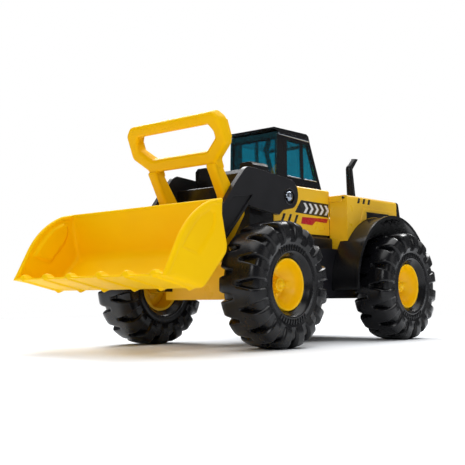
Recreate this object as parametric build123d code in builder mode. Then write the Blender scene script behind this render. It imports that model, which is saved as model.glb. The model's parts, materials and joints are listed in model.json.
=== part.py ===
from build123d import *

import os
from math import cos, radians, sin

# Toy front loader, millimetres. +X is forward, +Y is the left side, +Z is up.
# The origin is on the ground, in the middle of the outline.

# ---- driving dimensions -------------------------------------------------------------------
wheel_radius = 70
wheel_width = 54
wheel_track = 198               # between the middle planes of the left and right wheels
front_axle_x = 75.5
rear_axle_x = -183.5
axle_radius = 3
running_gap = 0.07              # radial gap round every pin that something turns on

hub_radius = 29
tread_depth = 8
lugs_per_side = 16

arm_pivot = (-2.5, 178)         # X, Z of the lift arms' hinge
bucket_pivot = (157.5, 92)      # X, Z of the bucket's hinge at rest
arm_outer_y = 61
arm_inner_y = 54.5

bucket_half_width = 119
bucket_wall = 3.5
bucket_rear_top = (184.5, 154)
bucket_knee = (172.5, 103)
bucket_heel = (207.5, 65)
bucket_lip = (265, 77)
bucket_rib_places = (24, 63.7, 103)     # on each side of the middle

handle_depth = 15
handle_knee = (128.5, 220.3)    # X, Z of the front face where the loop starts to narrow
handle_lean = 21.6              # degrees, forward
leg_outer_y = 54
leg_inner_y = 40
plate_inner_y = 46.2            # the handle's lower plates run between here and leg_outer_y

deck_z = 118                    # top of the chassis behind the front axle
chassis_half_width = 60
sheet = 1.6                     # pressed steel body panels
plastic = 3.0                   # moulded walls

base_half_width = 44            # painted box under the cab
base_front_x = 6.5
hood_front_x = -111.5
hood_rear_x = -236.5
base_top_z = 196.5
base_bottom_z = 136.6

hood_half_width = 72
hood_top_z = 189
hood_bottom_z = 118.2

tower_half_width = 43
tower_front_x = 51.5
tower_top_z = 210

fender_radius = 92.5
fender_inner_y = 60.2
fender_outer_y = 100
exhaust_foot = (-184.5, 30)
exhaust_bend = (-182.5, 30, 236)

cab_half_width = 38
cab_wall = 3.0

# ---- derived places -----------------------------------------------------------------------
wheel_y = wheel_track / 2
boss_end_y = 66
hub_inner_boss = -14            # hub boss, measured outward from the wheel's middle plane
hub_outer_boss = 6
bore_radius = axle_radius + running_gap


def side(y):
    """Plane seen from the left, at the given Y: sketch x is X, sketch y is Z, extrudes to -Y."""
    return Plane((0, y, 0), x_dir=(1, 0, 0), z_dir=(0, -1, 0))


def save(name, part):
    part.label = name
    export_step(part, f"parts/{name}.step")


os.makedirs("parts", exist_ok=True)


# ---- wheels -------------------------------------------------------------------------------
half = wheel_width / 2
groove_radius = wheel_radius - tread_depth

# tread lugs: two rows of slanted blocks, half a pitch apart, trimmed to a crowned outline
lug_pitch = 360 / lugs_per_side
with BuildPart() as tread:
    for row in (-1, 1):
        for index in range(lugs_per_side):
            turn = radians((index + 0.25 * row) * lug_pitch)
            outward = Vector(sin(turn), 0, cos(turn))
            lug_plane = Plane(
                origin=outward * (groove_radius - 3),
                x_dir=(cos(turn), 0, -sin(turn)),
                z_dir=outward,
            )
            with BuildSketch(lug_plane):
                with BuildLine():
                    Polyline(
                        (-11, row * 0.8), (3, row * 0.8), (9, row * 12), (12, row * 30),
                        (-1, row * 30), (-5, row * 14), (-11, row * 0.8),
                    )
                make_face()
            extrude(amount=tread_depth + 6)
            shoulder_plane = lug_plane.offset(-13)
            with BuildSketch(shoulder_plane):
                with BuildLine():
                    Polyline(
                        (7, row * 24.5), (8, row * 30), (0, row * 30), (0, row * 24.5), (7, row * 24.5),
                    )
                make_face()
            extrude(amount=20)
    with BuildSketch(Plane.YZ):
        with BuildLine():
            Polyline(
                (-half, 47), (-half, 55), (-half + 2, 63), (-half + 5, 67.5), (-half + 11, wheel_radius),
                (half - 11, wheel_radius), (half - 5, 67.5), (half - 2, 63), (half, 55), (half, 47),
                (-half, 47),
            )
        make_face()
    revolve(axis=Axis.Y, mode=Mode.INTERSECT)

# carcass: an open shell with bead flanges that grip the hub
with BuildPart() as tyre_left:
    with BuildSketch(Plane.YZ):
        with BuildLine():
            Polyline(
                (17, hub_radius), (24, 36), (half - 1, 45), (half - 1, 55), (22, groove_radius),
                (-22, groove_radius), (-half + 1, 55), (-half + 1, 45), (-24, 36), (-17, hub_radius),
                (-13, hub_radius), (-13, 32), (-20, 37.5), (-22.5, 46), (-22.5, 54), (-20, 58.5),
                (20, 58.5), (22.5, 54), (22.5, 46), (20, 37.5), (13, 32), (13, hub_radius),
                (17, hub_radius),
            )
        make_face()
    revolve(axis=Axis.Y)
    add(tread.part)

# hub: a drum with a deep dish towards the outside and a boss that runs on the axle
rim = hub_radius - 0.05
with BuildPart() as hub_left:
    with BuildSketch(Plane.YZ):
        with BuildLine():
            Polyline(
                (17, rim), (17, 27), (6, 23.5), (2.5, 20), (2, 8), (hub_outer_boss, 7.5),
                (hub_outer_boss, bore_radius), (hub_inner_boss, bore_radius), (hub_inner_boss, 7.5),
                (-0.5, 8), (-0.5, 20), (2, 26), (-17, 26.5), (-17, rim), (17, rim),
            )
        make_face()
    revolve(axis=Axis.Y)
    with BuildSketch(side(10)):
        with PolarLocations(13.5, 4, start_angle=45):
            Circle(2.4)
    extrude(amount=12, mode=Mode.SUBTRACT)


def dome_cap(centre, radius, seat_y, height, pin_radius, pin_end_y):
    """Solid push cap: a spherical dome with a blind hole for the pin's end."""
    ball = (radius**2 + height**2) / (2 * height)
    middle_y = seat_y + height - ball + (ball**2 - (radius / 2) ** 2) ** 0.5
    profile_plane = Plane(origin=(centre[0], 0, centre[1]), x_dir=(0, 1, 0), z_dir=(1, 0, 0))
    with BuildPart() as cap:
        with BuildSketch(profile_plane):
            with BuildLine():
                Polyline((seat_y + height, 0), (seat_y, 0), (seat_y, radius))
                ThreePointArc((seat_y, radius), (middle_y, radius / 2), (seat_y + height, 0))
            make_face()
        revolve(axis=Axis((centre[0], 0, centre[1]), (0, 1, 0)))
        with BuildSketch(side(pin_end_y)):
            with Locations(centre):
                Circle(pin_radius)
        extrude(amount=height + 2, mode=Mode.SUBTRACT)
    return cap


cap_seat = hub_outer_boss + 0.5
push_cap = dome_cap((0, 0), 5.5, cap_seat, 4.6, axle_radius, cap_seat + 3)

axle_end_y = wheel_y + cap_seat + 3

for end, axle_x in (("front", front_axle_x), ("rear", rear_axle_x)):
    axle_line = (axle_x, wheel_radius)
    for hand, turn_about in (("left", 1), ("right", -1)):
        place = (axle_x, turn_about * wheel_y, wheel_radius)
        pieces = (("tyre", tyre_left), ("hub", hub_left), ("axle_cap", push_cap))
        for name, source in pieces:
            with BuildPart() as placed:
                shape = source.part if turn_about == 1 else source.part.mirror(Plane.XZ)
                with Locations(place):
                    add(shape)
            save(f"{name}_{end}_{hand}", placed.part)

        # bush between the chassis boss and the hub
        with BuildPart() as bush:
            near_y = turn_about * (boss_end_y + 0.1)
            with BuildSketch(side(near_y)):
                with Locations(axle_line):
                    Circle(6)
                    Circle(axle_radius + 0.05, mode=Mode.SUBTRACT)
            bush_length = wheel_y + hub_inner_boss - 0.3 - boss_end_y - 0.1
            extrude(amount=-turn_about * bush_length)
        save(f"axle_bush_{end}_{hand}", bush.part)

    with BuildPart() as axle:
        with BuildSketch(side(0)):
            with Locations(axle_line):
                Circle(axle_radius)
        extrude(amount=axle_end_y, both=True)
    save(f"{end}_axle", axle.part)


# ---- chassis ------------------------------------------------------------------------------
pan_front_x = -79.5
pan_rear_x = -232
front_deck_z = 100
chassis_front_x = 91
cover_screw_places = ((-95, 45), (-95, -45), (-216, 45), (-216, -45))

with BuildPart() as chassis_frame:
    # rear, middle and front troughs, open underneath
    with BuildSketch(side(chassis_half_width)):
        with BuildLine():
            Polyline(
                (pan_rear_x, 57.5), (pan_front_x, 57.5), (pan_front_x, 65), (base_front_x, 65),
                (base_front_x, deck_z), (pan_rear_x, deck_z), (pan_rear_x, 57.5),
            )
        make_face()
    extrude(amount=2 * chassis_half_width)
    with BuildSketch(side(chassis_half_width - plastic)):
        with BuildLine():
            Polyline(
                (pan_rear_x + plastic, 50), (pan_front_x - plastic, 50),
                (pan_front_x - plastic, deck_z - plastic), (pan_rear_x + plastic, deck_z - plastic),
                (pan_rear_x + plastic, 50),
            )
        make_face()
        with BuildLine():
            Polyline(
                (pan_front_x, 50), (base_front_x - plastic, 50), (base_front_x - plastic, deck_z - plastic),
                (pan_front_x, deck_z - plastic), (pan_front_x, 50),
            )
        make_face()
    extrude(amount=2 * (chassis_half_width - plastic), mode=Mode.SUBTRACT)
    with BuildSketch(side(41)):
        with BuildLine():
            Polyline(
                (base_front_x - plastic, 57), (chassis_front_x, 57), (chassis_front_x, 92),
                (60, front_deck_z), (tower_front_x + 2, front_deck_z + 2),
                (base_front_x - plastic, front_deck_z + 2), (base_front_x - plastic, 57),
            )
        make_face()
    extrude(amount=82)
    with BuildSketch(side(38)):
        with BuildLine():
            Polyline(
                (base_front_x, 50), (chassis_front_x - plastic, 50), (chassis_front_x - plastic, 90),
                (60, front_deck_z - plastic), (base_front_x, front_deck_z - 1), (base_front_x, 50),
            )
        make_face()
    extrude(amount=76, mode=Mode.SUBTRACT)
    # bosses that carry the two axles right across
    for axle_x in (front_axle_x, rear_axle_x):
        with BuildSketch(side(boss_end_y)):
            with Locations((axle_x, wheel_radius)):
                Circle(9)
        extrude(amount=2 * boss_end_y)
        with BuildSketch(side(boss_end_y)):
            with Locations((axle_x, wheel_radius)):
                Circle(axle_radius + 0.02)
        extrude(amount=2 * boss_end_y, mode=Mode.SUBTRACT)
    # four posts for the underbody cover's screws
    with BuildSketch(Plane.XY.offset(57.5)):
        with Locations(*cover_screw_places):
            Circle(4.5)
    extrude(until=Until.NEXT)
    with BuildSketch(Plane.XY.offset(50)):
        with Locations(*cover_screw_places):
            Circle(1.6)
    extrude(amount=24, mode=Mode.SUBTRACT)
save("chassis_frame", chassis_frame.part)

cover_bottom_z = 54.4
with BuildPart() as underbody_cover:
    with BuildSketch(Plane.XY.offset(57.4)):
        with Locations(((pan_rear_x + pan_front_x) / 2, 0)):
            RectangleRounded(pan_front_x - pan_rear_x, 2 * chassis_half_width, 4)
    extrude(amount=cover_bottom_z - 57.4)
    # ring that locates inside the trough
    with BuildSketch(Plane.XY.offset(57.4)):
        with Locations(((pan_rear_x + pan_front_x) / 2, 0)):
            Rectangle(pan_front_x - pan_rear_x - 7, 2 * chassis_half_width - 7)
            Rectangle(pan_front_x - pan_rear_x - 11, 2 * chassis_half_width - 11, mode=Mode.SUBTRACT)
    extrude(amount=2.5)
    with BuildSketch(Plane.XY.offset(50)):
        with Locations(*cover_screw_places):
            Circle(1.8)
    extrude(amount=12, mode=Mode.SUBTRACT)
    with BuildSketch(Plane.XY.offset(cover_bottom_z)):
        with Locations(*cover_screw_places):
            Circle(3.4)
    extrude(amount=1.4, mode=Mode.SUBTRACT)
save("underbody_cover", underbody_cover.part)

with BuildPart() as cover_screws:
    with BuildSketch(Plane.XY.offset(cover_bottom_z + 0.1)):
        with Locations(*cover_screw_places):
            Circle(3.2)
            Rectangle(4.6, 0.9, mode=Mode.SUBTRACT)
            Rectangle(0.9, 4.6, mode=Mode.SUBTRACT)
    extrude(amount=0.7)
    with BuildSketch(Plane.XY.offset(cover_bottom_z + 0.8)):
        with Locations(*cover_screw_places):
            Circle(3.2)
    extrude(amount=0.5)
    with BuildSketch(Plane.XY.offset(cover_bottom_z + 1.3)):
        with Locations(*cover_screw_places):
            Circle(1.5)
    extrude(amount=12)
save("cover_screws", cover_screws.part)


# ---- nose and front console ---------------------------------------------------------------
nose_front_x = 93.5
nose_half_width = 43

# folded steel nose: front face, sloping deck, side flanges and a wider lower band
with BuildPart() as nose_panel:
    with BuildSketch(side(nose_half_width)):
        with BuildLine():
            Polyline(
                (nose_front_x, 54), (nose_front_x, 94), (91, 96.5), (60, 105), (tower_front_x + 1, 105.5),
                (tower_front_x + 1, 60), (86, 60), (86, 54), (nose_front_x, 54),
            )
        make_face()
    extrude(amount=2 * nose_half_width)
    with BuildSketch(side(nose_half_width - sheet)):
        with BuildLine():
            Polyline(
                (nose_front_x - sheet, 50), (nose_front_x - sheet, 93.4), (90.2, 94.8), (60, 103.2),
                (tower_front_x, 103.6), (tower_front_x, 50), (nose_front_x - sheet, 50),
            )
        make_face()
    extrude(amount=2 * (nose_half_width - sheet), mode=Mode.SUBTRACT)
    # clearance holes round the axle bosses
    with BuildSketch(side(nose_half_width + 1)):
        with Locations((front_axle_x, wheel_radius)):
            Circle(9.4)
    extrude(amount=2 * nose_half_width + 2, mode=Mode.SUBTRACT)
    with Locations((nose_front_x - sheet / 2, 0, 59)):
        Box(sheet, 108, 10)
save("nose_panel", nose_panel.part)

# console in front of the cab, with two lamp pods on its top corners
with BuildPart() as front_console:
    with BuildSketch(side(tower_half_width)):
        with BuildLine():
            Polyline(
                (base_front_x + 0.2, deck_z + 0.1), (base_front_x + 0.2, tower_top_z - 6),
                (12, tower_top_z),
                (44, tower_top_z), (48.5, tower_top_z - 5), (48.5, 176), (tower_front_x, 170),
                (tower_front_x, front_deck_z + 6), (base_front_x + 0.2, front_deck_z + 6),
                (base_front_x + 0.2, deck_z + 0.1),
            )
        make_face()
    extrude(amount=2 * tower_half_width)
    offset(amount=-plastic, openings=front_console.faces().sort_by(Axis.Z)[0])
    for hand in (-1, 1):
        with BuildSketch(Plane.YZ.offset(20)):
            with BuildLine():
                Polyline(
                    (hand * 26, 196), (hand * 26, 214), (hand * 29, 217), (hand * 43, 217),
                    (hand * 47, 213), (hand * 47, 200), (hand * 43, 196), (hand * 26, 196),
                )
            make_face()
        extrude(amount=28.5)
        # recessed lamp faces
        with BuildSketch(Plane.YZ.offset(47)):
            with Locations((hand * 36.5, 206.5)):
                RectangleRounded(16, 14, 3)
        extrude(amount=5, mode=Mode.SUBTRACT)
save("front_console", front_console.part)


# ---- painted body -------------------------------------------------------------------------
# box under the cab: folded sheet, open underneath, with holes for the arm pivot
with BuildPart() as cab_base_shell:
    base_length = base_front_x - hood_front_x - 0.2
    base_centre_x = (base_front_x + hood_front_x + 0.2) / 2
    with BuildSketch(Plane.XY.offset(base_bottom_z)):
        with Locations((base_centre_x, 0)):
            Rectangle(base_length, 2 * base_half_width)
    extrude(amount=base_top_z - base_bottom_z)
    fillet(cab_base_shell.edges().filter_by(Axis.X).group_by(Axis.Z)[-1], 3)
    with BuildSketch(Plane.XY.offset(base_bottom_z)):
        with Locations((base_centre_x, 0)):
            Rectangle(base_length - 2 * sheet, 2 * (base_half_width - sheet))
    extrude(amount=base_top_z - base_bottom_z - sheet, mode=Mode.SUBTRACT)
    with BuildSketch(side(base_half_width + 1)):
        with Locations(arm_pivot):
            Circle(axle_radius + 0.05)
    extrude(amount=2 * base_half_width + 2, mode=Mode.SUBTRACT)
save("cab_base_shell", cab_base_shell.part)

# black sills that carry the cab base above the chassis deck
with BuildPart() as sill_left:
    sill_length = base_front_x - hood_front_x - 3
    with BuildSketch(Plane.YZ.offset(hood_front_x + 3)):
        with BuildLine():
            Polyline(
                (34, deck_z + 0.1), (50, deck_z + 0.1), (50, 131), (48, 133), (43, 133),
                (43, base_bottom_z - 0.1), (38, base_bottom_z - 0.1), (38, deck_z + 3),
                (34, deck_z + 3), (34, deck_z + 0.1),
            )
        make_face()
    extrude(amount=sill_length)
save("side_sill_left", sill_left.part)
with BuildPart() as sill_right:
    mirror(sill_left.part, about=Plane.XZ)
save("side_sill_right", sill_right.part)

# engine hood: one folded sheet, cut round the fenders and the cab base
vent_x = (-217, -157.5)
vent_z = (148, 169.5)
arch_depth = hood_half_width + 1.4 - fender_inner_y
arch_starts = (hood_half_width + 1, 0.4 - fender_inner_y)      # left, right
with BuildPart() as engine_hood_shell:
    hood_length = hood_front_x - hood_rear_x
    with BuildSketch(Plane.YZ.offset(hood_rear_x)):
        with Locations((0, (hood_top_z + hood_bottom_z) / 2)):
            Rectangle(2 * hood_half_width, hood_top_z - hood_bottom_z)
    extrude(amount=hood_length)
    fillet(engine_hood_shell.edges().filter_by(Axis.X).group_by(Axis.Z)[-1], 4)
    with BuildSketch(Plane.YZ.offset(hood_rear_x - 1)):
        with Locations((0, (hood_top_z + hood_bottom_z) / 2 - sheet)):
            Rectangle(2 * (hood_half_width - sheet), hood_top_z - hood_bottom_z)
    extrude(amount=hood_length + 1 - sheet, mode=Mode.SUBTRACT)
    # way through for the cab base
    with BuildSketch(Plane.YZ.offset(hood_front_x - 10)):
        with Locations((0, 150)):
            Rectangle(2 * base_half_width + 0.6, 66)
    extrude(amount=12, mode=Mode.SUBTRACT)
    # wheel arches
    for start_y in arch_starts:
        with BuildSketch(side(start_y)):
            with Locations((rear_axle_x, wheel_radius)):
                Circle(fender_radius + 0.4)
        extrude(amount=arch_depth, mode=Mode.SUBTRACT)
    # vent window and three short slots on each side
    with BuildSketch(side(hood_half_width + 1)):
        with Locations(((vent_x[0] + vent_x[1]) / 2, (vent_z[0] + vent_z[1]) / 2)):
            RectangleRounded(vent_x[1] - vent_x[0], vent_z[1] - vent_z[0], 1.5)
        for slot_x in (-139.5, -152, -164.5):
            with Locations((slot_x, 183)):
                Rectangle(3.4, 7, rotation=30)
    extrude(amount=2 * hood_half_width + 2, mode=Mode.SUBTRACT)
    # seat for the exhaust pipe
    with BuildSketch(Plane.XY.offset(hood_top_z - 5)):
        with Locations(exhaust_foot):
            Circle(4.2)
    extrude(amount=8, mode=Mode.SUBTRACT)
save("engine_hood_shell", engine_hood_shell.part)

# louvred insert that closes each vent window from behind
with BuildPart() as vent_left:
    with BuildSketch(side(hood_half_width - sheet - 0.1)):
        with Locations(((vent_x[0] + vent_x[1]) / 2, (vent_z[0] + vent_z[1]) / 2)):
            Rectangle(vent_x[1] - vent_x[0] + 6, vent_z[1] - vent_z[0] + 5)
        with Locations((rear_axle_x, wheel_radius)):
            Circle(fender_radius + 0.4, mode=Mode.SUBTRACT)
    extrude(amount=1.6)
    with BuildSketch(side(hood_half_width - 0.4)):
        for louvre in range(4):
            with Locations(((vent_x[0] + vent_x[1]) / 2, 167 - 4 * louvre)):
                Rectangle(vent_x[1] - vent_x[0] - 3, 1.4)
        with Locations((rear_axle_x, wheel_radius)):
            Circle(fender_radius + 0.8, mode=Mode.SUBTRACT)
    extrude(amount=1.4)
save("vent_insert_left", vent_left.part)
with BuildPart() as vent_right:
    mirror(vent_left.part, about=Plane.XZ)
save("vent_insert_right", vent_right.part)

# rear grille: a cap that closes the hood, leaning outwards towards its foot
grille_foot_x = -258
with BuildPart() as rear_grille:
    with BuildSketch(side(hood_half_width)):
        with BuildLine():
            Polyline(
                (hood_rear_x - 0.1, hood_bottom_z), (hood_rear_x - 0.1, hood_top_z),
                (hood_rear_x - 3, hood_top_z), (hood_rear_x - 5, hood_top_z - 2),
                (grille_foot_x, hood_bottom_z), (hood_rear_x - 0.1, hood_bottom_z),
            )
        make_face()
    extrude(amount=2 * hood_half_width)
    fillet(rear_grille.edges().filter_by(Axis.X).group_by(Axis.Z)[-1], 4)
    # spigot inside the hood
    with Locations((hood_rear_x + 3, 0, 160)):
        Box(6.4, 2 * (hood_half_width - sheet) - 0.4, 53)
    offset(amount=-2.4, openings=rear_grille.faces().sort_by(Axis.X)[-1])
    for start_y in arch_starts:
        with BuildSketch(side(start_y)):
            with Locations((rear_axle_x, wheel_radius)):
                Circle(fender_radius + 0.4)
        extrude(amount=arch_depth, mode=Mode.SUBTRACT)
    # six slots across the back
    with BuildSketch(Plane.YZ.offset(hood_rear_x - 1)):
        for slot in range(6):
            with Locations((0, 130 + 9 * slot)):
                SlotOverall(96, 3.6)
    extrude(amount=-30, mode=Mode.SUBTRACT)
save("rear_grille", rear_grille.part)

# fenders: an arch over each rear wheel, a rolled outer edge and a flange on the chassis
with BuildPart() as fender_left:
    arch = 2.8
    start_angle, sweep_angle = -3, 154
    with BuildSketch(side(fender_outer_y)):
        with BuildLine():
            outer = CenterArc((rear_axle_x, wheel_radius), fender_radius, start_angle, sweep_angle)
            inner = CenterArc((rear_axle_x, wheel_radius), fender_radius - arch, start_angle, sweep_angle)
            Line(outer @ 0, inner @ 0)
            Line(outer @ 1, inner @ 1)
        make_face()
    extrude(amount=fender_outer_y - fender_inner_y)
    with BuildSketch(side(fender_outer_y)):
        with BuildLine():
            outer = CenterArc((rear_axle_x, wheel_radius), fender_radius + 1.6, start_angle, sweep_angle)
            inner = CenterArc((rear_axle_x, wheel_radius), fender_radius - arch, start_angle, sweep_angle)
            Line(outer @ 0, inner @ 0)
            Line(outer @ 1, inner @ 1)
        make_face()
    extrude(amount=3)
    # wheel-well wall against the chassis side
    with BuildSketch(side(fender_inner_y + 2.4)):
        with Locations((rear_axle_x, wheel_radius)):
            Circle(fender_radius - 1)
            Circle(12, mode=Mode.SUBTRACT)
        with BuildLine():
            Polyline(
                (-60, 64), (-60, -40), (-300, -40), (-300, 116), (-265.5, 116), (pan_rear_x, 64), (-60, 64),
            )
        make_face(mode=Mode.SUBTRACT)
    extrude(amount=2.3)
save("fender_left", fender_left.part)
with BuildPart() as fender_right:
    mirror(fender_left.part, about=Plane.XZ)
save("fender_right", fender_right.part)


# ---- cab ----------------------------------------------------------------------------------
cab_floor_z = base_top_z + 0.1
cab_outline = [(-6.5, cab_floor_z), (-8.5, 258), (-77.5, 258), (-103, cab_floor_z)]
side_windows = (
    [(-29, 209), (-29, 253.5), (-56, 253.5), (-57.5, 208.5), (-29, 209)],
    [(-64, 208), (-62.5, 253.5), (-74.5, 253.5), (-91.5, 208), (-64, 208)],
)
shield_low, shield_high = 201.5, 262.4      # rebate for the windshield, across the whole front
pane = 1.5
glass_gap = 0.15


def cab_front_x(z):
    """X of the cab's leaning front face at a height."""
    return -6.5 - 0.0326 * (z - cab_floor_z)


def shield_outline(low, high, depth):
    """Side outline of a layer of the front face, between two heights and some depth behind it."""
    return [
        (cab_front_x(low) - depth, low), (cab_front_x(low) + 3, low), (cab_front_x(high) + 3, high),
        (cab_front_x(high) - depth, high), (cab_front_x(low) - depth, low),
    ]


with BuildPart() as cab_frame:
    with BuildSketch(side(cab_half_width)):
        with BuildLine():
            Polyline(*cab_outline, cab_outline[0])
        make_face()
    extrude(amount=2 * cab_half_width)
    offset(amount=-cab_wall, openings=cab_frame.faces().sort_by(Axis.Z)[0])
    with BuildSketch(side(cab_half_width + 1)):
        for window in side_windows:
            with BuildLine():
                Polyline(*window)
            make_face()
    extrude(amount=2 * cab_half_width + 2, mode=Mode.SUBTRACT)
    # windshield and rear window
    with BuildSketch(Plane.YZ.offset(-20)):
        with Locations((0, 229)):
            Rectangle(70, 52)
    extrude(amount=20, mode=Mode.SUBTRACT)
    with BuildSketch(Plane.YZ.offset(-65)):
        with Locations((0, 231)):
            RectangleRounded(60, 40, 2)
    extrude(amount=-45, mode=Mode.SUBTRACT)
    # roof slab with a thin visor, and a drip ledge along both sides
    with BuildSketch(side(cab_half_width)):
        with BuildLine():
            Polyline(
                (-3.5, 267), (-71, 267), (-75.5, 264.5), (-78, 257), (-12, 257), (-12, 262.6),
                (-3, 264.8), (-3.5, 267),
            )
        make_face()
    extrude(amount=2 * cab_half_width)
    with BuildSketch(side(cab_half_width + 1.8)):
        with BuildLine():
            Polyline((-12, 259), (-12, 261), (-72, 261), (-76, 257), (-74, 257), (-71, 259), (-12, 259))
        make_face()
    extrude(amount=2 * (cab_half_width + 1.8))
    with BuildSketch(side(cab_half_width + 1)):
        with BuildLine():
            Polyline(*shield_outline(shield_low, shield_high, pane + 0.1))
        make_face()
    extrude(amount=2 * cab_half_width + 2, mode=Mode.SUBTRACT)
save("cab_frame", cab_frame.part)

# one tinted moulding: a box inside the frame, with panes that stand in the window openings
with BuildPart() as cab_glazing:
    inset = cab_wall + glass_gap
    with BuildSketch(side(cab_half_width - inset)):
        with BuildLine():
            Polyline(
                (-6.6 - inset, cab_floor_z + 0.2), (-8.4 - inset, 254.2), (-75.3, 254.2),
                (-99.2, cab_floor_z + 0.2), (-6.6 - inset, cab_floor_z + 0.2),
            )
        make_face()
    extrude(amount=2 * (cab_half_width - inset))
    offset(amount=-1.4, openings=cab_glazing.faces().sort_by(Axis.Z)[0])
    for hand in (1, -1):
        for window in side_windows:
            with BuildSketch(side(hand * (cab_half_width - 0.5))):
                with BuildLine():
                    Polyline(*window)
                make_face()
                offset(amount=-glass_gap, kind=Kind.INTERSECTION, mode=Mode.REPLACE)
            extrude(amount=hand * (inset + 0.4))
    with BuildSketch(side(35 - glass_gap)):
        with BuildLine():
            Polyline(*shield_outline(203 + glass_gap, 255 - glass_gap, inset + 0.5))
        make_face()
    extrude(amount=2 * (35 - glass_gap))
    with BuildSketch(side(cab_half_width)):
        with BuildLine():
            Polyline(*shield_outline(shield_low + glass_gap, shield_high - glass_gap, pane))
        make_face()
    extrude(amount=2 * cab_half_width)
    # the front face itself
    with BuildSketch(side(cab_half_width + 1)):
        with BuildLine():
            Polyline(
                (cab_front_x(190), 190), (6, 190), (6, 270), (cab_front_x(270), 270),
                (cab_front_x(190), 190),
            )
        make_face()
    extrude(amount=2 * cab_half_width + 2, mode=Mode.SUBTRACT)
save("cab_glazing", cab_glazing.part)

# exhaust: a tapering pipe, bent back near its top, with a slanted cut
with BuildPart() as exhaust_stack:
    with BuildSketch(Plane.XY.offset(hood_top_z + 0.1)):
        with Locations(exhaust_foot):
            Circle(6.2)
    with BuildSketch(Plane.XY.offset(exhaust_bend[2])):
        with Locations(exhaust_bend[:2]):
            Circle(4.8)
    loft()
    bend = Plane(origin=exhaust_bend, x_dir=(0, 1, 0), z_dir=(-0.64, 0, 0.77))
    with BuildSketch(bend):
        Circle(4.9)
    extrude(amount=26)
    with Locations(exhaust_bend):
        Sphere(4.9)
    with BuildSketch(Plane.XY.offset(250)):
        with Locations((-200, 30)):
            Rectangle(60, 30)
    extrude(amount=30, mode=Mode.SUBTRACT)
    with BuildSketch(Plane.XY.offset(hood_top_z - 4)):
        with Locations(exhaust_foot):
            Circle(4.1)
    extrude(amount=4.2)
save("exhaust_stack", exhaust_stack.part)


# ---- lift arms ----------------------------------------------------------------------------
bucket_x, bucket_z = bucket_pivot
arm_end_radius = 13
bucket_pin_radius = 2.5
crossbar_screw_places = ((64.6, 178.4), (69, 184.2))
crossbar_screw_depth = 4.4      # into the arm
rear_slope = Vector(0.677, -0.736)          # direction of the forearm's rear edge, in X and Z
front_slope = Vector(0.654, -0.756)         # direction of its front edge


def beside(centre, slope, distance):
    """Point at a distance from a centre, square to a slope, on its rear side if positive."""
    return (centre[0] + slope.Y * distance, centre[1] - slope.X * distance)


arm_rear_tangent = beside(bucket_pivot, rear_slope, arm_end_radius)
arm_front_tangent = beside(bucket_pivot, front_slope, -arm_end_radius)
arm_tip = (bucket_x + arm_end_radius * 0.68, bucket_z - arm_end_radius * 0.733)

with BuildPart() as arm_left:
    with BuildSketch(side(arm_outer_y)):
        with BuildLine():
            ThreePointArc((-8.5, 199), (-20.5, 181), (-9, 164))
            Polyline((-9, 164), (9.5, 160.5), (17, 154.5), (55, 158.5), (74, 162), arm_rear_tangent)
            ThreePointArc(arm_rear_tangent, arm_tip, arm_front_tangent)
            Polyline(arm_front_tangent, (119, 157), (97.7, 183.8), (82, 201))
            ThreePointArc((82, 201), (78.5, 204.2), (73, 206.3))
            Polyline((73, 206.3), (48, 204.5), (-8.5, 199))
        make_face()
    extrude(amount=arm_outer_y - arm_inner_y)
    # recessed channel down the forearm
    with BuildSketch(side(arm_outer_y)):
        with BuildLine():
            rear_foot = beside(bucket_pivot, rear_slope, arm_end_radius - 2.2)
            front_foot = beside(bucket_pivot, front_slope, 4 - arm_end_radius)
            channel_tip = (bucket_x + 9 * 0.68, bucket_z - 9 * 0.733)
            Polyline(
                front_foot, (115.3, 155), (102.5, 168.8), (87.6, 171), (66.5, 174), (97, 141.5), rear_foot,
            )
            ThreePointArc(rear_foot, channel_tip, front_foot)
        make_face()
    extrude(amount=2.4, mode=Mode.SUBTRACT)
    # washer land round the bucket pin inside the channel
    with BuildSketch(side(arm_outer_y - 0.6)):
        with Locations(bucket_pivot):
            Circle(7)
    extrude(amount=3)
    # dished seat for the pivot cap
    with BuildSketch(side(arm_outer_y)):
        with Locations(arm_pivot):
            Circle(9)
    extrude(amount=1.6, mode=Mode.SUBTRACT)
    with BuildSketch(side(arm_outer_y)):
        with Locations(arm_pivot):
            Circle(axle_radius + running_gap)
        with Locations(bucket_pivot):
            Circle(bucket_pin_radius + 0.02)
    extrude(amount=10, mode=Mode.SUBTRACT)
    # blind holes for the cross-member's screws
    with BuildSketch(side(arm_inner_y)):
        with Locations(*crossbar_screw_places):
            Circle(1.6)
    extrude(amount=-crossbar_screw_depth - 0.4, mode=Mode.SUBTRACT)
save("lift_arm_left", arm_left.part)
with BuildPart() as arm_right:
    mirror(arm_left.part, about=Plane.XZ)
save("lift_arm_right", arm_right.part)

# cross-member between the arms: a channel with end plates
crossbar_y = arm_inner_y - 0.05
with BuildPart() as arm_crossbar:
    with BuildSketch(side(crossbar_y)):
        with BuildLine():
            Polyline((61, 164), (73, 164), (73, 188), (61, 188), (61, 164))
        make_face()
    extrude(amount=2 * crossbar_y)
    with BuildSketch(side(crossbar_y - 8)):
        with BuildLine():
            Polyline((60, 166), (71.8, 166), (71.8, 187), (60, 187), (60, 166))
        make_face()
    extrude(amount=2 * crossbar_y - 16, mode=Mode.SUBTRACT)
    fillet(arm_crossbar.edges().filter_by(Axis.Y).group_by(Axis.X)[-1], 1.5)
    with BuildSketch(side(crossbar_y + 1)):
        with Locations(*crossbar_screw_places):
            Circle(1.32)
    extrude(amount=2 * crossbar_y + 2, mode=Mode.SUBTRACT)
save("arm_crossbar", arm_crossbar.part)

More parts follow.
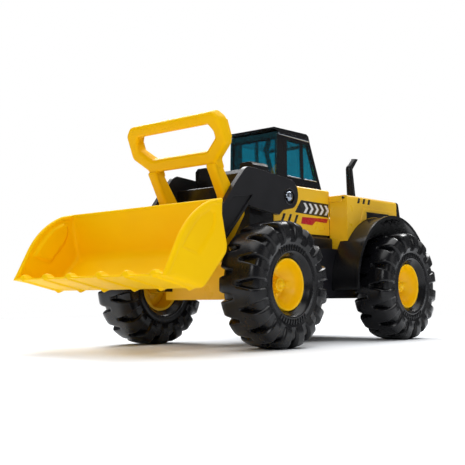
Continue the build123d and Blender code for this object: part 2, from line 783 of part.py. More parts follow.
crossbar_end_y = crossbar_y - 8         # inner face of the cross-member's end blocks
with BuildPart() as crossbar_screws:
    for hand in (1, -1):
        with BuildSketch(side(hand * (crossbar_end_y - 1.4))):
            with Locations(*crossbar_screw_places):
                Circle(2.4)
        extrude(amount=-hand * 1.35)
        with BuildSketch(side(hand * (crossbar_end_y - 0.1))):
            with Locations(*crossbar_screw_places):
                Circle(1.3)
        extrude(amount=-hand * (arm_inner_y + crossbar_screw_depth - crossbar_end_y))
save("crossbar_screws", crossbar_screws.part)

# hinge pins, spacers and domed caps
rod_end_y = arm_outer_y - 0.9
with BuildPart() as arm_pivot_rod:
    with BuildSketch(side(rod_end_y)):
        with Locations(arm_pivot):
            Circle(axle_radius)
    extrude(amount=2 * rod_end_y)
save("arm_pivot_rod", arm_pivot_rod.part)

with BuildPart() as spacer_left:
    with BuildSketch(side(arm_inner_y - 0.3)):
        with Locations(arm_pivot):
            Circle(8)
            Circle(axle_radius + 0.05, mode=Mode.SUBTRACT)
    extrude(amount=arm_inner_y - 0.3 - base_half_width - 0.05)
save("pivot_spacer_left", spacer_left.part)
with BuildPart() as spacer_right:
    mirror(spacer_left.part, about=Plane.XZ)
save("pivot_spacer_right", spacer_right.part)


def save_cap_pair(name, cap):
    save(f"{name}_left", cap.part)
    with BuildPart() as opposite:
        mirror(cap.part, about=Plane.XZ)
    save(f"{name}_right", opposite.part)


arm_cap = dome_cap(arm_pivot, 5.2, arm_outer_y - 1.3, 4.3, axle_radius, rod_end_y)
save_cap_pair("arm_pivot_cap", arm_cap)

pin_end_y = arm_outer_y + 0.6
with BuildPart() as bucket_pivot_rod:
    with BuildSketch(side(pin_end_y)):
        with Locations(bucket_pivot):
            Circle(bucket_pin_radius)
    extrude(amount=2 * pin_end_y)
save("bucket_pivot_rod", bucket_pivot_rod.part)
bucket_cap = dome_cap(bucket_pivot, 4.6, arm_outer_y - 0.55, 3.2, bucket_pin_radius, pin_end_y)
save_cap_pair("bucket_pivot_cap", bucket_cap)


# ---- bucket -------------------------------------------------------------------------------
lug_outer_y = plate_inner_y - 0.1
lug_inner_y = 38
screw_places = ((146, 108), (130, 122))

with BuildPart() as bucket_shell:
    with BuildSketch(side(bucket_half_width)) as bucket_outline:
        with BuildLine():
            Polyline(bucket_rear_top, bucket_knee, bucket_heel, bucket_lip, (260, 83), (246.5, 108))
            ThreePointArc((246.5, 108), (223.3, 137), (199.8, 150.3))
            Line((199.8, 150.3), bucket_rear_top)
        make_face()
        fillet(bucket_outline.vertices().sort_by(Axis.X)[0], 16)
    extrude(amount=2 * bucket_half_width)
    # lugs for the hinge pin and the handle's plates
    for hand in (1, -1):
        lug_face_y = lug_outer_y if hand == 1 else -lug_inner_y
        with BuildSketch(side(lug_face_y)):
            with Locations(bucket_pivot):
                Circle(12)
            with Locations((130, 122)):
                Circle(6)
            with Locations((178, 132), (190, 88)):
                Circle(2)
            make_hull()
            with Locations(bucket_pivot):
                Circle(bucket_pin_radius + running_gap, mode=Mode.SUBTRACT)
            with Locations(*screw_places):
                Circle(1.52, mode=Mode.SUBTRACT)
        extrude(amount=lug_outer_y - lug_inner_y)
    # the inside, open to the front and top
    with BuildSketch(side(bucket_half_width - bucket_wall)):
        with BuildLine():
            Polyline(
                (188.2, 175), (188.2, 154), (176.3, 104.3), (209, 68.8), (266, 80.7), (300, 90), (300, 175),
                (188.2, 175),
            )
        make_face()
    extrude(amount=2 * (bucket_half_width - bucket_wall), mode=Mode.SUBTRACT)
    # bead along the back's top edge
    with BuildSketch(side(bucket_half_width - 1)):
        with Locations((185.6, 153)):
            Circle(3.2)
    extrude(amount=2 * bucket_half_width - 2)
    # ribs under the floor, each ending in a small tooth on the lip
    for rib_y in (*bucket_rib_places, *(-place for place in bucket_rib_places)):
        with BuildSketch(side(rib_y + 4)):
            with BuildLine():
                Polyline(
                    (209, 66), (212, 62.8), (262, 73.4), (265.8, 77.5), (262, 79.5), (209, 68), (209, 66),
                )
            make_face()
        extrude(amount=8)
save("bucket_shell", bucket_shell.part)


# ---- handle -------------------------------------------------------------------------------
lean = radians(handle_lean)
handle_face = Plane(
    origin=(handle_knee[0], 0, handle_knee[1]),
    x_dir=(0, 1, 0),
    z_dir=(cos(lean), 0, -sin(lean)),
)
leg_front = ((126.5, 205), (106.5, 169))
leg_rear = ((107.2, 202), (94.1, 183), (72.8, 154), (95.5, 121))
plate_end_radius = 12

with BuildPart() as bucket_handle:
    with BuildSketch(handle_face):
        with BuildLine():
            Polyline(
                (54, -26), (54, -15), (75, 2), (75, 33), (68, 40), (-68, 40), (-75, 33), (-75, 2),
                (-54, -15), (-54, -26), (54, -26),
            )
        make_face()
        with BuildLine():
            Polyline(
                (44, -2.5), (61, 10), (61, 17), (55, 26.5), (-55, 26.5), (-61, 17), (-61, 10), (-44, -2.5),
                (44, -2.5),
            )
        make_face(mode=Mode.SUBTRACT)
        with Locations((0, -22.3)):
            Rectangle(2 * leg_inner_y, 9, mode=Mode.SUBTRACT)
    extrude(amount=-handle_depth)
    fillet(bucket_handle.edges().filter_by(handle_face, reverse=False), 3)
    for hand in (1, -1):
        # leg from the loop down behind the bucket
        with BuildSketch(side(leg_outer_y if hand == 1 else -leg_inner_y)):
            with BuildLine():
                Polyline(
                    leg_front[0], leg_front[1], (114, 156), (98, 140), (83, 139.5), leg_rear[2], leg_rear[1],
                    leg_rear[0], leg_front[0],
                )
            make_face()
        extrude(amount=leg_outer_y - leg_inner_y)
        # side plate that carries the leg's load to the hinge pin
        with BuildSketch(side(leg_outer_y if hand == 1 else -plate_inner_y)):
            plate_front = beside(bucket_pivot, front_slope, -plate_end_radius)
            plate_rear = beside(bucket_pivot, rear_slope, plate_end_radius)
            plate_tip = (bucket_x + plate_end_radius * 0.68, bucket_z - plate_end_radius * 0.733)
            with BuildLine():
                Polyline(
                    plate_front, (118, 152), leg_front[1], leg_rear[1], leg_rear[2], leg_rear[3], plate_rear,
                )
                ThreePointArc(plate_rear, plate_tip, plate_front)
            make_face()
            with Locations(bucket_pivot):
                Circle(bucket_pin_radius + running_gap, mode=Mode.SUBTRACT)
            with Locations(*screw_places):
                Circle(1.6, mode=Mode.SUBTRACT)
        extrude(amount=leg_outer_y - plate_inner_y)
        with BuildSketch(side(hand * leg_outer_y)):
            with Locations(*screw_places):
                Circle(3.4)
        extrude(amount=hand * 2.2, mode=Mode.SUBTRACT)
save("bucket_handle", bucket_handle.part)

with BuildPart() as handle_screws:
    for hand in (1, -1):
        with BuildSketch(side(hand * (leg_outer_y - 0.3))):
            with Locations(*screw_places):
                Circle(3.2)
        extrude(amount=hand * 1.8)
        with BuildSketch(side(hand * (leg_outer_y - 2))):
            with Locations(*screw_places):
                Circle(1.5)
        extrude(amount=hand * 13)
save("handle_screws", handle_screws.part)
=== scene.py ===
import json
from math import atan2, cos, pi, radians, sin, tan

import bmesh
import bpy
from mathutils import Matrix, Vector
from mathutils.geometry import convex_hull_2d


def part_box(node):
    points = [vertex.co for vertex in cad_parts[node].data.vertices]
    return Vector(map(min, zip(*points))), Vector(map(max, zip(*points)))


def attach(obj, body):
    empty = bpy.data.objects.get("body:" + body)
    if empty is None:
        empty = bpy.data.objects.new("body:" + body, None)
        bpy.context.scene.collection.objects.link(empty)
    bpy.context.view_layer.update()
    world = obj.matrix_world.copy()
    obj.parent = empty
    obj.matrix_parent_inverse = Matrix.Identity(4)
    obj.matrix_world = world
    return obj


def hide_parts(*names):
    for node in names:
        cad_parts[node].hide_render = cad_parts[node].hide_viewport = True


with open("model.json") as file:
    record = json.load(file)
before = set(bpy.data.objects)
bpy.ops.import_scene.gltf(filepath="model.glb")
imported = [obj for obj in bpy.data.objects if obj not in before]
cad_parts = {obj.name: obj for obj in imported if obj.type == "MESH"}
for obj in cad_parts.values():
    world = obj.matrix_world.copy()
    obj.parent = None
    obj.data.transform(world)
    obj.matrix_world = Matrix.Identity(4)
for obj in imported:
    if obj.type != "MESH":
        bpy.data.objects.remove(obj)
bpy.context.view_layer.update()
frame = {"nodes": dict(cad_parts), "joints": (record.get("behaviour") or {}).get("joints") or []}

# Toy front loader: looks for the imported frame. Lengths are millimetres unless a name says otherwise;
# +X is forward, +Y is the left side, +Z is up, and the origin is on the floor.
MM = 0.001
NODES = frame["nodes"]
JOINTS = {joint["name"]: joint for joint in frame["joints"]}


def cad_box_mm(node):
    """Lowest and highest corner of a CAD node, in millimetres."""
    low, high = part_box(node)
    return low / MM, high / MM


def joint_point_mm(name):
    return Vector(JOINTS[name]["pos_m"]) / MM


# ---- materials ----------------------------------------------------------------------------
def shader_material(name):
    """A new node material with object coordinates ready for its textures."""
    material = bpy.data.materials.new(name)
    material.use_nodes = True
    tree = material.node_tree
    shader = tree.nodes["Principled BSDF"]
    place = tree.nodes.new("ShaderNodeTexCoord")
    return material, tree, shader, place.outputs["Object"]


def noise(tree, place, scale, detail=3.0, distortion=0.0):
    node = tree.nodes.new("ShaderNodeTexNoise")
    node.inputs["Scale"].default_value = scale
    node.inputs["Detail"].default_value = detail
    node.inputs["Distortion"].default_value = distortion
    tree.links.new(place, node.inputs["Vector"])
    return node.outputs["Fac"]


def spread(tree, value, low, high):
    """Maps a noise value, mostly between 0.3 and 0.7, to a range."""
    node = tree.nodes.new("ShaderNodeMapRange")
    node.inputs["From Min"].default_value = 0.3
    node.inputs["From Max"].default_value = 0.7
    node.inputs["To Min"].default_value = low
    node.inputs["To Max"].default_value = high
    tree.links.new(value, node.inputs["Value"])
    return node.outputs["Result"]


def two_tone(tree, value, first, second):
    node = tree.nodes.new("ShaderNodeMix")
    node.data_type = "RGBA"
    node.inputs["A"].default_value = (*first, 1)
    node.inputs["B"].default_value = (*second, 1)
    tree.links.new(value, node.inputs["Factor"])
    return node.outputs["Result"]


def bump(tree, value, depth_mm, strength=1.0, under=None):
    node = tree.nodes.new("ShaderNodeBump")
    node.inputs["Distance"].default_value = depth_mm * MM
    node.inputs["Strength"].default_value = strength
    tree.links.new(value, node.inputs["Height"])
    if under is not None:
        tree.links.new(under, node.inputs["Normal"])
    return node.outputs["Normal"]


# noise scales, in waves to the metre, shared by all moulded and painted surfaces
DRIFT_SCALE = 18
GLOSS_SCALE = 60
WAVE_SCALE = 30
SINK_DEPTH = 0.12
COAT_ROUGHNESS = 0.06


def moulded(name, first, second, rough, grain_mm, grain_depth, coat=0.0, metallic=0.0, specular=0.5):
    """Moulded or painted surface: slow colour drift, uneven gloss, fine grain over slight sink waves."""
    material, tree, shader, place = shader_material(name)
    drift = spread(tree, noise(tree, place, DRIFT_SCALE, 4), 0, 1)
    tree.links.new(two_tone(tree, drift, first, second), shader.inputs["Base Color"])
    gloss = spread(tree, noise(tree, place, GLOSS_SCALE, 5, 0.4), rough[0], rough[1])
    tree.links.new(gloss, shader.inputs["Roughness"])
    waves = bump(tree, noise(tree, place, WAVE_SCALE, 1), SINK_DEPTH, 0.35)
    grain = bump(tree, noise(tree, place, 1 / (grain_mm * MM), 3), grain_depth, 1.0, waves)
    tree.links.new(grain, shader.inputs["Normal"])
    shader.inputs["Metallic"].default_value = metallic
    shader.inputs["Specular IOR Level"].default_value = specular
    if coat:
        shader.inputs["Coat Weight"].default_value = coat
        shader.inputs["Coat Roughness"].default_value = COAT_ROUGHNESS
    return material


def tinted_glass(name, colour):
    """Clear tinted window plastic with faint moulding waves."""
    material, tree, shader, place = shader_material(name)
    shader.inputs["Transmission Weight"].default_value = 1.0
    shader.inputs["IOR"].default_value = 1.45
    shade = spread(tree, noise(tree, place, 25, 2), 0, 1)
    deeper = tuple(channel * 0.88 for channel in colour)
    tree.links.new(two_tone(tree, shade, colour, deeper), shader.inputs["Base Color"])
    gloss = spread(tree, noise(tree, place, 80, 3), 0.01, 0.05)
    tree.links.new(gloss, shader.inputs["Roughness"])
    tree.links.new(bump(tree, noise(tree, place, 40, 1), 0.05, 0.2), shader.inputs["Normal"])
    return material


def ink(name, colour):
    """Printed film, and flat painted shade for the hood's openings: nearly flat colour, slightly mottled,
    satin.
    """
    darker = tuple(channel * 0.85 for channel in colour)
    return moulded(name, colour, darker, (0.22, 0.34), 0.5, 0.004, coat=0.3)


MATERIALS = {
    "tyre_black": moulded(
        "tyre_black", (0.003, 0.003, 0.004), (0.005, 0.005, 0.006), (0.2, 0.3), 0.8, 0.008, specular=0.3),
    "hub_yellow": moulded(
        "hub_yellow", (0.96, 0.58, 0.0), (0.93, 0.54, 0.0), (0.3, 0.4), 0.7, 0.012, specular=0.25),
    "bucket_yellow": moulded(
        "bucket_yellow", (0.98, 0.6, 0.0), (0.95, 0.56, 0.0), (0.42, 0.54), 0.6, 0.012, specular=0.07),
    "handle_orange": moulded(
        "handle_orange", (0.96, 0.54, 0.0), (0.93, 0.5, 0.0), (0.38, 0.5), 0.9, 0.02, specular=0.08),
    "body_paint": moulded(
        "body_paint", (0.97, 0.57, 0.015), (0.94, 0.54, 0.015), (0.26, 0.34), 1.2, 0.006, coat=0.5),
    "black_gloss": moulded(
        "black_gloss", (0.004, 0.004, 0.005), (0.007, 0.007, 0.008), (0.18, 0.28), 1.0, 0.006, specular=0.35),
    "black_satin": moulded(
        "black_satin", (0.007, 0.007, 0.009), (0.011, 0.011, 0.014), (0.3, 0.42), 0.7, 0.014, specular=0.3),
    "cap_black": moulded(
        "cap_black", (0.3, 0.33, 0.38), (0.24, 0.27, 0.32), (0.1, 0.18), 1.0, 0.004, metallic=1.0),
    "steel": moulded(
        "steel", (0.55, 0.56, 0.58), (0.46, 0.47, 0.5), (0.22, 0.36), 0.5, 0.01, metallic=1.0),
    "glazing": tinted_glass("glazing", (0.015, 0.36, 0.45)),
    # black for print, and also painted as the shade inside the hood's slots and relief holes
    "ink_and_painted_shade_black": ink("ink_and_painted_shade_black", (0.012, 0.012, 0.014)),
    "ink_white": ink("ink_white", (0.85, 0.85, 0.85)),
    "ink_red": ink("ink_red", (0.55, 0.006, 0.02)),
}

# ---- mesh helpers -------------------------------------------------------------------------
def left_of(direction):
    """The 2-D direction a quarter turn to the left."""
    return Vector((-direction.y, direction.x))


def rounded_corner(before, corner, after, radius, step_deg=11.25):
    """(point, left-hand normal) pairs round one corner of a 2-D path."""
    arriving = (corner - before).normalized()
    leaving = (after - corner).normalized()
    turn = atan2(arriving.x * leaving.y - arriving.y * leaving.x, arriving.dot(leaving))
    if radius <= 0 or abs(turn) < radians(1):
        return [(corner, left_of((arriving + leaving).normalized()))]
    hand = 1 if turn > 0 else -1
    start = corner - arriving * radius * tan(abs(turn) / 2)
    centre = start + left_of(arriving) * radius * hand
    steps = max(2, round(abs(turn) / radians(step_deg)))
    pairs = []
    for step in range(steps + 1):
        swing = Matrix.Rotation(turn * step / steps, 2)
        normal = swing @ left_of(arriving)
        pairs.append((centre - normal * radius * hand, normal))
    return pairs


def rounded_path(corners, radii, spacing):
    """(point, left-hand normal) pairs, evenly spaced on the straights, along an open 2-D path."""
    corners = [Vector(corner) for corner in corners]
    pairs = [(corners[0], left_of((corners[1] - corners[0]).normalized()))]
    for index, radius in enumerate(radii, start=1):
        pairs += rounded_corner(corners[index - 1], corners[index], corners[index + 1], radius)
    pairs.append((corners[-1], left_of((corners[-1] - corners[-2]).normalized())))
    filled = [pairs[0]]
    for point, normal in pairs[1:]:
        start, start_normal = filled[-1]
        steps = max(1, round((point - start).length / spacing))
        for step in range(1, steps + 1):
            blend = step / steps
            filled.append((start.lerp(point, blend), start_normal.lerp(normal, blend).normalized()))
    return filled


def rounded_outline(corners, radius):
    """Closed 2-D outline with every corner rounded. radius is one number, or one for each corner."""
    corners = [Vector(corner) for corner in corners]
    radii = radius if isinstance(radius, (list, tuple)) else [radius] * len(corners)
    points = []
    for index, corner in enumerate(corners):
        before = corners[index - 1]
        after = corners[(index + 1) % len(corners)]
        points += [point for point, _ in rounded_corner(before, corner, after, radii[index])]
    return points


def circle_outline(centre, radius, steps=32):
    angles = [2 * pi * step / steps for step in range(steps)]
    return [Vector((centre[0] + radius * cos(a), centre[1] + radius * sin(a))) for a in angles]


def hull_outline(circles):
    """The outline of a string pulled round some circles, given as (centre, radius)."""
    points = [point for centre, radius in circles for point in circle_outline(centre, radius)]
    return [points[index] for index in convex_hull_2d(points)]


def tidy_mesh(mesh, merge_mm=0.01):
    """Merges doubled points, drops faces of no size and turns every normal outwards."""
    work = bmesh.new()
    work.from_mesh(mesh)
    bmesh.ops.remove_doubles(work, verts=work.verts, dist=merge_mm * MM)
    bmesh.ops.dissolve_degenerate(work, edges=work.edges, dist=merge_mm * MM)
    bmesh.ops.recalc_face_normals(work, faces=work.faces)
    work.to_mesh(mesh)
    work.free()


def mesh_from(vertices_mm, faces):
    mesh = bpy.data.meshes.new("part")
    mesh.from_pydata([tuple(value * MM for value in vertex) for vertex in vertices_mm], [], faces)
    tidy_mesh(mesh)
    return mesh


def piece_from(name, meshes, material, body, replaced=(), crease_deg=35):
    """One named piece out of one or several closed meshes, riding on a CAD body."""
    joined = bmesh.new()
    for mesh in meshes:
        joined.from_mesh(mesh)
        bpy.data.meshes.remove(mesh)
    mesh = bpy.data.meshes.new(name)
    joined.to_mesh(mesh)
    joined.free()
    mesh.materials.append(MATERIALS[material])
    piece = bpy.data.objects.new(name, mesh)
    bpy.context.scene.collection.objects.link(piece)
    mesh.shade_smooth()
    mesh.set_sharp_from_angle(angle=radians(crease_deg))
    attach(piece, body)
    if replaced:
        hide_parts(*replaced)
    return piece


def grid_faces(rows, columns, wrap_rows=False, wrap_columns=False):
    """Quads between neighbouring rows of vertices that are stored row by row."""
    faces = []
    for row in range(rows if wrap_rows else rows - 1):
        for column in range(columns if wrap_columns else columns - 1):
            next_row = (row + 1) % rows
            next_column = (column + 1) % columns
            faces.append((
                row * columns + column,
                row * columns + next_column,
                next_row * columns + next_column,
                next_row * columns + column,
            ))
    return faces


def plate(outlines, plane, thickness, rounding, segments=3):
    """A closed solid from flat outlines, the first outside and the rest holes, with rounded edges.
    plane is the matrix of its middle plane, in millimetres."""
    curve = bpy.data.curves.new("outline", "CURVE")
    curve.dimensions = "2D"
    curve.fill_mode = "BOTH"
    curve.extrude = (thickness / 2 - rounding) * MM
    curve.bevel_depth = rounding * MM
    curve.bevel_resolution = segments
    curve.offset = -rounding * MM
    for outline in outlines:
        spline = curve.splines.new("POLY")
        spline.points.add(len(outline) - 1)
        for target, point in zip(spline.points, outline):
            target.co = (point[0] * MM, point[1] * MM, 0, 1)
        spline.use_cyclic_u = True
    holder = bpy.data.objects.new("outline", curve)
    mesh = bpy.data.meshes.new_from_object(holder)
    bpy.data.objects.remove(holder)
    bpy.data.curves.remove(curve)
    in_metres = plane.copy()
    in_metres.translation = plane.translation * MM
    mesh.transform(in_metres)
    tidy_mesh(mesh)
    return mesh


def side_plane(y):
    """Plane seen from the left: its first axis is X and its second is Z."""
    return Matrix(((1, 0, 0, 0), (0, 0, -1, y), (0, 1, 0, 0), (0, 0, 0, 1)))


def side_plate(outlines, y_a, y_b, rounding, segments=3):
    """A rounded plate whose outlines are in X and Z, between two values of Y."""
    return plate(outlines, side_plane((y_a + y_b) / 2), abs(y_b - y_a), rounding, segments)


def front_plane(x):
    """Plane seen from the front: its first axis is Y and its second is Z."""
    return Matrix(((0, 0, 1, x), (1, 0, 0, 0), (0, 1, 0, 0), (0, 0, 0, 1)))


def ring_solid(profile, steps, centre, hand=1, reshape=None):
    """A closed ring: a profile of (distance out along Y, radius) turned about a Y axis.
    reshape, if given, moves a profile point at an angle."""
    vertices = []
    for step in range(steps):
        angle = 2 * pi * step / steps
        for out, radius in profile:
            if reshape:
                out, radius = reshape(out, radius, angle)
            vertices.append((
                centre[0] + radius * cos(angle), centre[1] + hand * out, centre[2] + radius * sin(angle),
            ))
    return mesh_from(vertices, grid_faces(steps, len(profile), True, True))


def swept_tube(stations, sides=32):
    """Outer skin, inner skin and end rings of a pipe. Each station is
    (centre, heading, outer radius, inner radius, stretch along the bend)."""
    loops = [(centre, heading, outer, stretch) for centre, heading, outer, _, stretch in stations]
    loops += [(centre, heading, inner, stretch) for centre, heading, _, inner, stretch in stations[::-1]]
    sideways = Vector((0, 1, 0))
    vertices = []
    for centre, heading, radius, stretch in loops:
        across = heading.cross(sideways).normalized() * stretch
        for side in range(sides):
            angle = 2 * pi * side / sides
            vertices.append(centre + (across * cos(angle) + sideways * sin(angle)) * radius)
    return mesh_from(vertices, grid_faces(len(loops), sides, True, True))


def hump(distance, half_width):
    """A smooth bump, 1 in its middle and 0 from half_width outwards."""
    if abs(distance) >= half_width:
        return 0.0
    return 0.5 + 0.5 * cos(pi * distance / half_width)


def ramp(low, high, value):
    """0 below low, 1 above high, smooth between."""
    share = max(0.0, min(1.0, (value - low) / (high - low)))
    return share * share * (3 - 2 * share)


WELD_DISTANCE = 0.003
FLAT_WITHIN_DEG = 0.4           # neighbouring faces this near to flat become one


def soften(node, width_mm, segments=2, crease_deg=28):
    """Rounds the sharp edges of a CAD node's shown surface; its own mesh stays as it is."""
    obj = NODES[node]
    obj.data.shade_smooth()
    weld = obj.modifiers.new("weld", "WELD")
    weld.merge_threshold = WELD_DISTANCE * MM
    flat = obj.modifiers.new("flat", "DECIMATE")
    flat.decimate_type = "DISSOLVE"
    flat.angle_limit = radians(FLAT_WITHIN_DEG)
    bevel = obj.modifiers.new("bevel", "BEVEL")
    bevel.limit_method = "ANGLE"
    bevel.angle_limit = radians(crease_deg)
    bevel.width = width_mm * MM
    bevel.segments = segments
    bevel.use_clamp_overlap = True
    normals = obj.modifiers.new("normals", "WEIGHTED_NORMAL")
    normals.keep_sharp = True


# ---- wheels -------------------------------------------------------------------------------
TREAD_GROOVES = 16
COLUMNS_PER_GROOVE = 16

# (distance out at the top of a block, its radius, the same at a groove's floor, half width in degrees)
TREAD_ROWS = [
    (1.6, 70, 1.6, 70, 1.2), (2.6, 70, 2.6, 69.4, 1.3), (3.2, 70, 3.4, 66, 1.5), (4.2, 70, 4.6, 63.4, 1.7),
    (8, 70, 8, 63, 2.3), (13, 70, 13, 62.8, 3.2), (17.5, 69.6, 17.5, 62.3, 4.0), (21.5, 68.2, 21, 61.3, 4.8),
    (24.3, 65.4, 23.4, 59.5, 5.3), (26.2, 61, 24.4, 56.5, 5.6), (27, 55.5, 24.6, 53.5, 5.8),
    (26.9, 50.5, 24.7, 50, 6), (26.3, 48, 24.8, 48.3, 6.2), (25.2, 46.8, 25, 46.9, 6.2),
]
SIDEWALL = [
    (25.2, 45.5), (24.6, 44.6), (24.3, 43), (24.2, 38.5), (24.6, 37.4), (25, 36.6), (25, 36.2), (24.4, 35.2),
    (22, 33.5), (19, 31), (17.4, 29.6), (16.5, 29.05),
]
TYRE_RADIUS = TREAD_ROWS[0][1]

# columns of points are counted from a groove's middle: its floor, then a block's edge, then the block's top
FLOOR_COLUMNS = 2
EDGE_COLUMN = FLOOR_COLUMNS + 1
FLOOR_SHARE = 0.8               # of a groove's half width, flat
EDGE_DROP = 0.45                # rounding of the blocks' edges
EDGE_TURN = 0.55                # degrees from a block's edge to the first point on its top

TICK_ARCS = (90, 270)           # middles of the arcs, in degrees
TICKS_EACH_WAY = 5
TICK_STEP = 6.4
TICK_RADII = (37.8, 43.6)
TICK_HALF_WIDTH = 0.75
TICK_FOOT = 23.6
TICK_HEIGHT = 1.5


def tread_point(row, place, pitch):
    """(out, radius, angle in degrees from the groove's middle) at a column of one tread row."""
    top_out, top_radius, floor_out, floor_radius, half_width = row
    step = abs(place)
    hand = 1 if place >= 0 else -1
    if step <= FLOOR_COLUMNS:
        angle = half_width * FLOOR_SHARE * step / FLOOR_COLUMNS
        return floor_out, floor_radius, hand * angle
    if step == EDGE_COLUMN:
        drop = min(EDGE_DROP, max(0, top_radius - floor_radius) / 3)
        return top_out - drop / 2, top_radius - drop, hand * half_width
    first = half_width + EDGE_TURN
    first_column = EDGE_COLUMN + 1
    angle = first + (pitch / 2 - first) * (step - first_column) / (COLUMNS_PER_GROOVE // 2 - first_column)
    return top_out, top_radius, hand * angle


def tyre_mesh(centre, hand):
    """A closed tyre: crown with two staggered rows of grooves, sidewalls and a plain inner face."""
    pitch = 360 / TREAD_GROOVES
    columns = TREAD_GROOVES * COLUMNS_PER_GROOVE
    half = COLUMNS_PER_GROOVE // 2
    rings = []
    for face in (1, -1):
        half_rings = []
        shift = 0 if face == 1 else half
        for row in TREAD_ROWS:
            ring = []
            for column in range(columns):
                place = (column - shift + half) % COLUMNS_PER_GROOVE - half
                out, radius, angle = tread_point(row, place, pitch)
                middle = (column - place) / COLUMNS_PER_GROOVE * pitch
                ring.append((face * out, radius, radians(middle + angle)))
            half_rings.append(ring)
        for out, radius in SIDEWALL:
            ring = [(face * out, radius, 2 * pi * column / columns) for column in range(columns)]
            half_rings.append(ring)
        rings.append(half_rings)
    crown = [(0, TYRE_RADIUS, 2 * pi * column / columns) for column in range(columns)]
    loops = list(reversed(rings[0])) + [crown] + rings[1]
    vertices = [
        (centre[0] + r * cos(a), centre[1] + hand * out, centre[2] + r * sin(a))
        for loop in loops for out, r, a in loop
    ]
    return mesh_from(vertices, grid_faces(len(loops), columns, True, True))


def sidewall_ticks(centre, hand):
    """Two arcs of short raised bars on the outer sidewall."""
    inner, outer = TICK_RADII
    half = TICK_HALF_WIDTH
    outline = [(inner, -half), (outer, -half), (outer, half), (inner, half)]
    foot = centre[1] + hand * TICK_FOOT
    meshes = []
    for middle in TICK_ARCS:
        for tick in range(-TICKS_EACH_WAY, TICKS_EACH_WAY + 1):
            turned = Matrix.Rotation(radians(middle + tick * TICK_STEP), 2)
            placed = [turned @ Vector(point) + Vector((centre[0], centre[2])) for point in outline]
            meshes.append(side_plate([placed], foot, foot + hand * TICK_HEIGHT, 0.3, 1))
    return meshes


HUB_PROFILE = [
    (17.2, 28.9), (18.0, 28.5), (18.3, 27.9), (18.0, 27.2), (17.0, 26.8), (14, 26.1), (10, 25.0), (6.5, 23.2),
    (4.0, 20.6), (2.6, 17.5), (2.0, 14.6), (1.8, 12.2), (1.9, 10.4), (2.4, 9.2), (3.6, 8.4), (6.6, 7.9),
    (7.4, 7.4), (7.6, 6.6), (7.5, 3.2), (-14, 3.2), (-14, 7.4), (-2, 8), (-2, 20), (1.5, 24), (-17, 26),
    (-17, 28.9),
]
HUB_STEPS = 96
HUB_POCKETS = 4
POCKET_DEPTH = 5.0
POCKET_MIDDLE = 14              # radius where the pockets are deepest
POCKET_HALF_WIDTH = 8
POCKET_WALL = (0.30, 0.42)      # start and end of a pocket's wall, in sectors from the pocket's middle
BOSS_RADIUS = 8.5
HUB_FACE = 1                    # points further in than this belong to the hub's hidden side


def hub_pocket(out, radius, angle):
    """Deepens the pockets round the hub's boss."""
    if out < HUB_FACE or radius < BOSS_RADIUS:
        return out, radius
    sector = (angle / (2 * pi) * HUB_POCKETS) % 1 - 0.5
    wall_start, wall_end = POCKET_WALL
    inside = ramp(wall_end, wall_start, abs(sector))
    return out - POCKET_DEPTH * inside * hump(radius - POCKET_MIDDLE, POCKET_HALF_WIDTH), radius


def build_wheels():
    for joint in frame["joints"]:
        if not joint["name"].endswith("_roll"):
            continue
        corner = joint["name"].removesuffix("_roll")
        body = joint["child"]
        low, high = cad_box_mm(f"tyre_{corner}")
        centre = (low + high) / 2
        hand = 1 if centre.y > 0 else -1
        tyre = [tyre_mesh(centre, hand)] + sidewall_ticks(centre, hand)
        piece_from(
            f"treaded_tyre_{corner}", tyre, "tyre_black", body, replaced=[f"tyre_{corner}"], crease_deg=48)
        hub = [ring_solid(HUB_PROFILE, HUB_STEPS, centre, hand, hub_pocket)]
        piece_from(
            f"dished_hub_{corner}", hub, "hub_yellow", body, replaced=[f"hub_{corner}"], crease_deg=50)


# ---- bucket -------------------------------------------------------------------------------
BUCKET_BACK = [(184.4, 153.6), (172.5, 103), (209, 64.6), (263.6, 77)]
BUCKET_BENDS = [16, 9]
BUCKET_WALL = 3.6
BUCKET_HALF_WIDTH = 119
BUCKET_EDGE_ARC = ((246.9, 107.5), (225.5, 135), (199.8, 150.3))
BUCKET_TIP = (258.9, 85)
BUCKET_CORNERS = {"inner": 4.6, "outer": 6.2}       # bend between the floor and the side walls
FLAT_HALF_WIDTH = 107           # of the floor between those bends
FLOOR_LENGTH = 51
LIP_SHARE = 0.55                # share of the wall's thickness left at the lip
LIP_TAPER = 14
WALL_STEPS = 34
CORNER_STEPS = 5
RIM_STEPS = 3
RIM_HEIGHT = 1.9

BEAD_HEIGHT = 0.7               # thickened edge of the side walls
BEAD_BAND = (2.2, 4.6)

RIB_PLACES = [hand * y for hand in (1, -1) for y in (24, 63.7, 103)]
RIB_COLUMNS = (-7.5, -5.5, -4, -2.8, -1.6, 0, 1.6, 2.8, 4, 5.5, 7.5)
RIB_HEIGHT, RIB_HALF_WIDTH = 1.5, 3.4
RIB_FOOT_HEIGHT, RIB_FOOT_HALF_WIDTH, RIB_FOOT_HALF_LENGTH = 1.7, 5.5, 7
TOOTH_HEIGHT, TOOTH_HALF_WIDTH = 4.2, 6.2
TOOTH_SLOPE = (2, 15)           # the teeth run out between these distances from the lip

PANEL_DIP = 2.0
PANEL_SLOPE = 2.6
PANEL = [
    (243, 103.4), (218, 97), (198.4, 119.4), (193.2, 130), (193.5, 141), (200, 144.5), (214.3, 137.4),
    (224.5, 128.2), (233, 117.5),
]


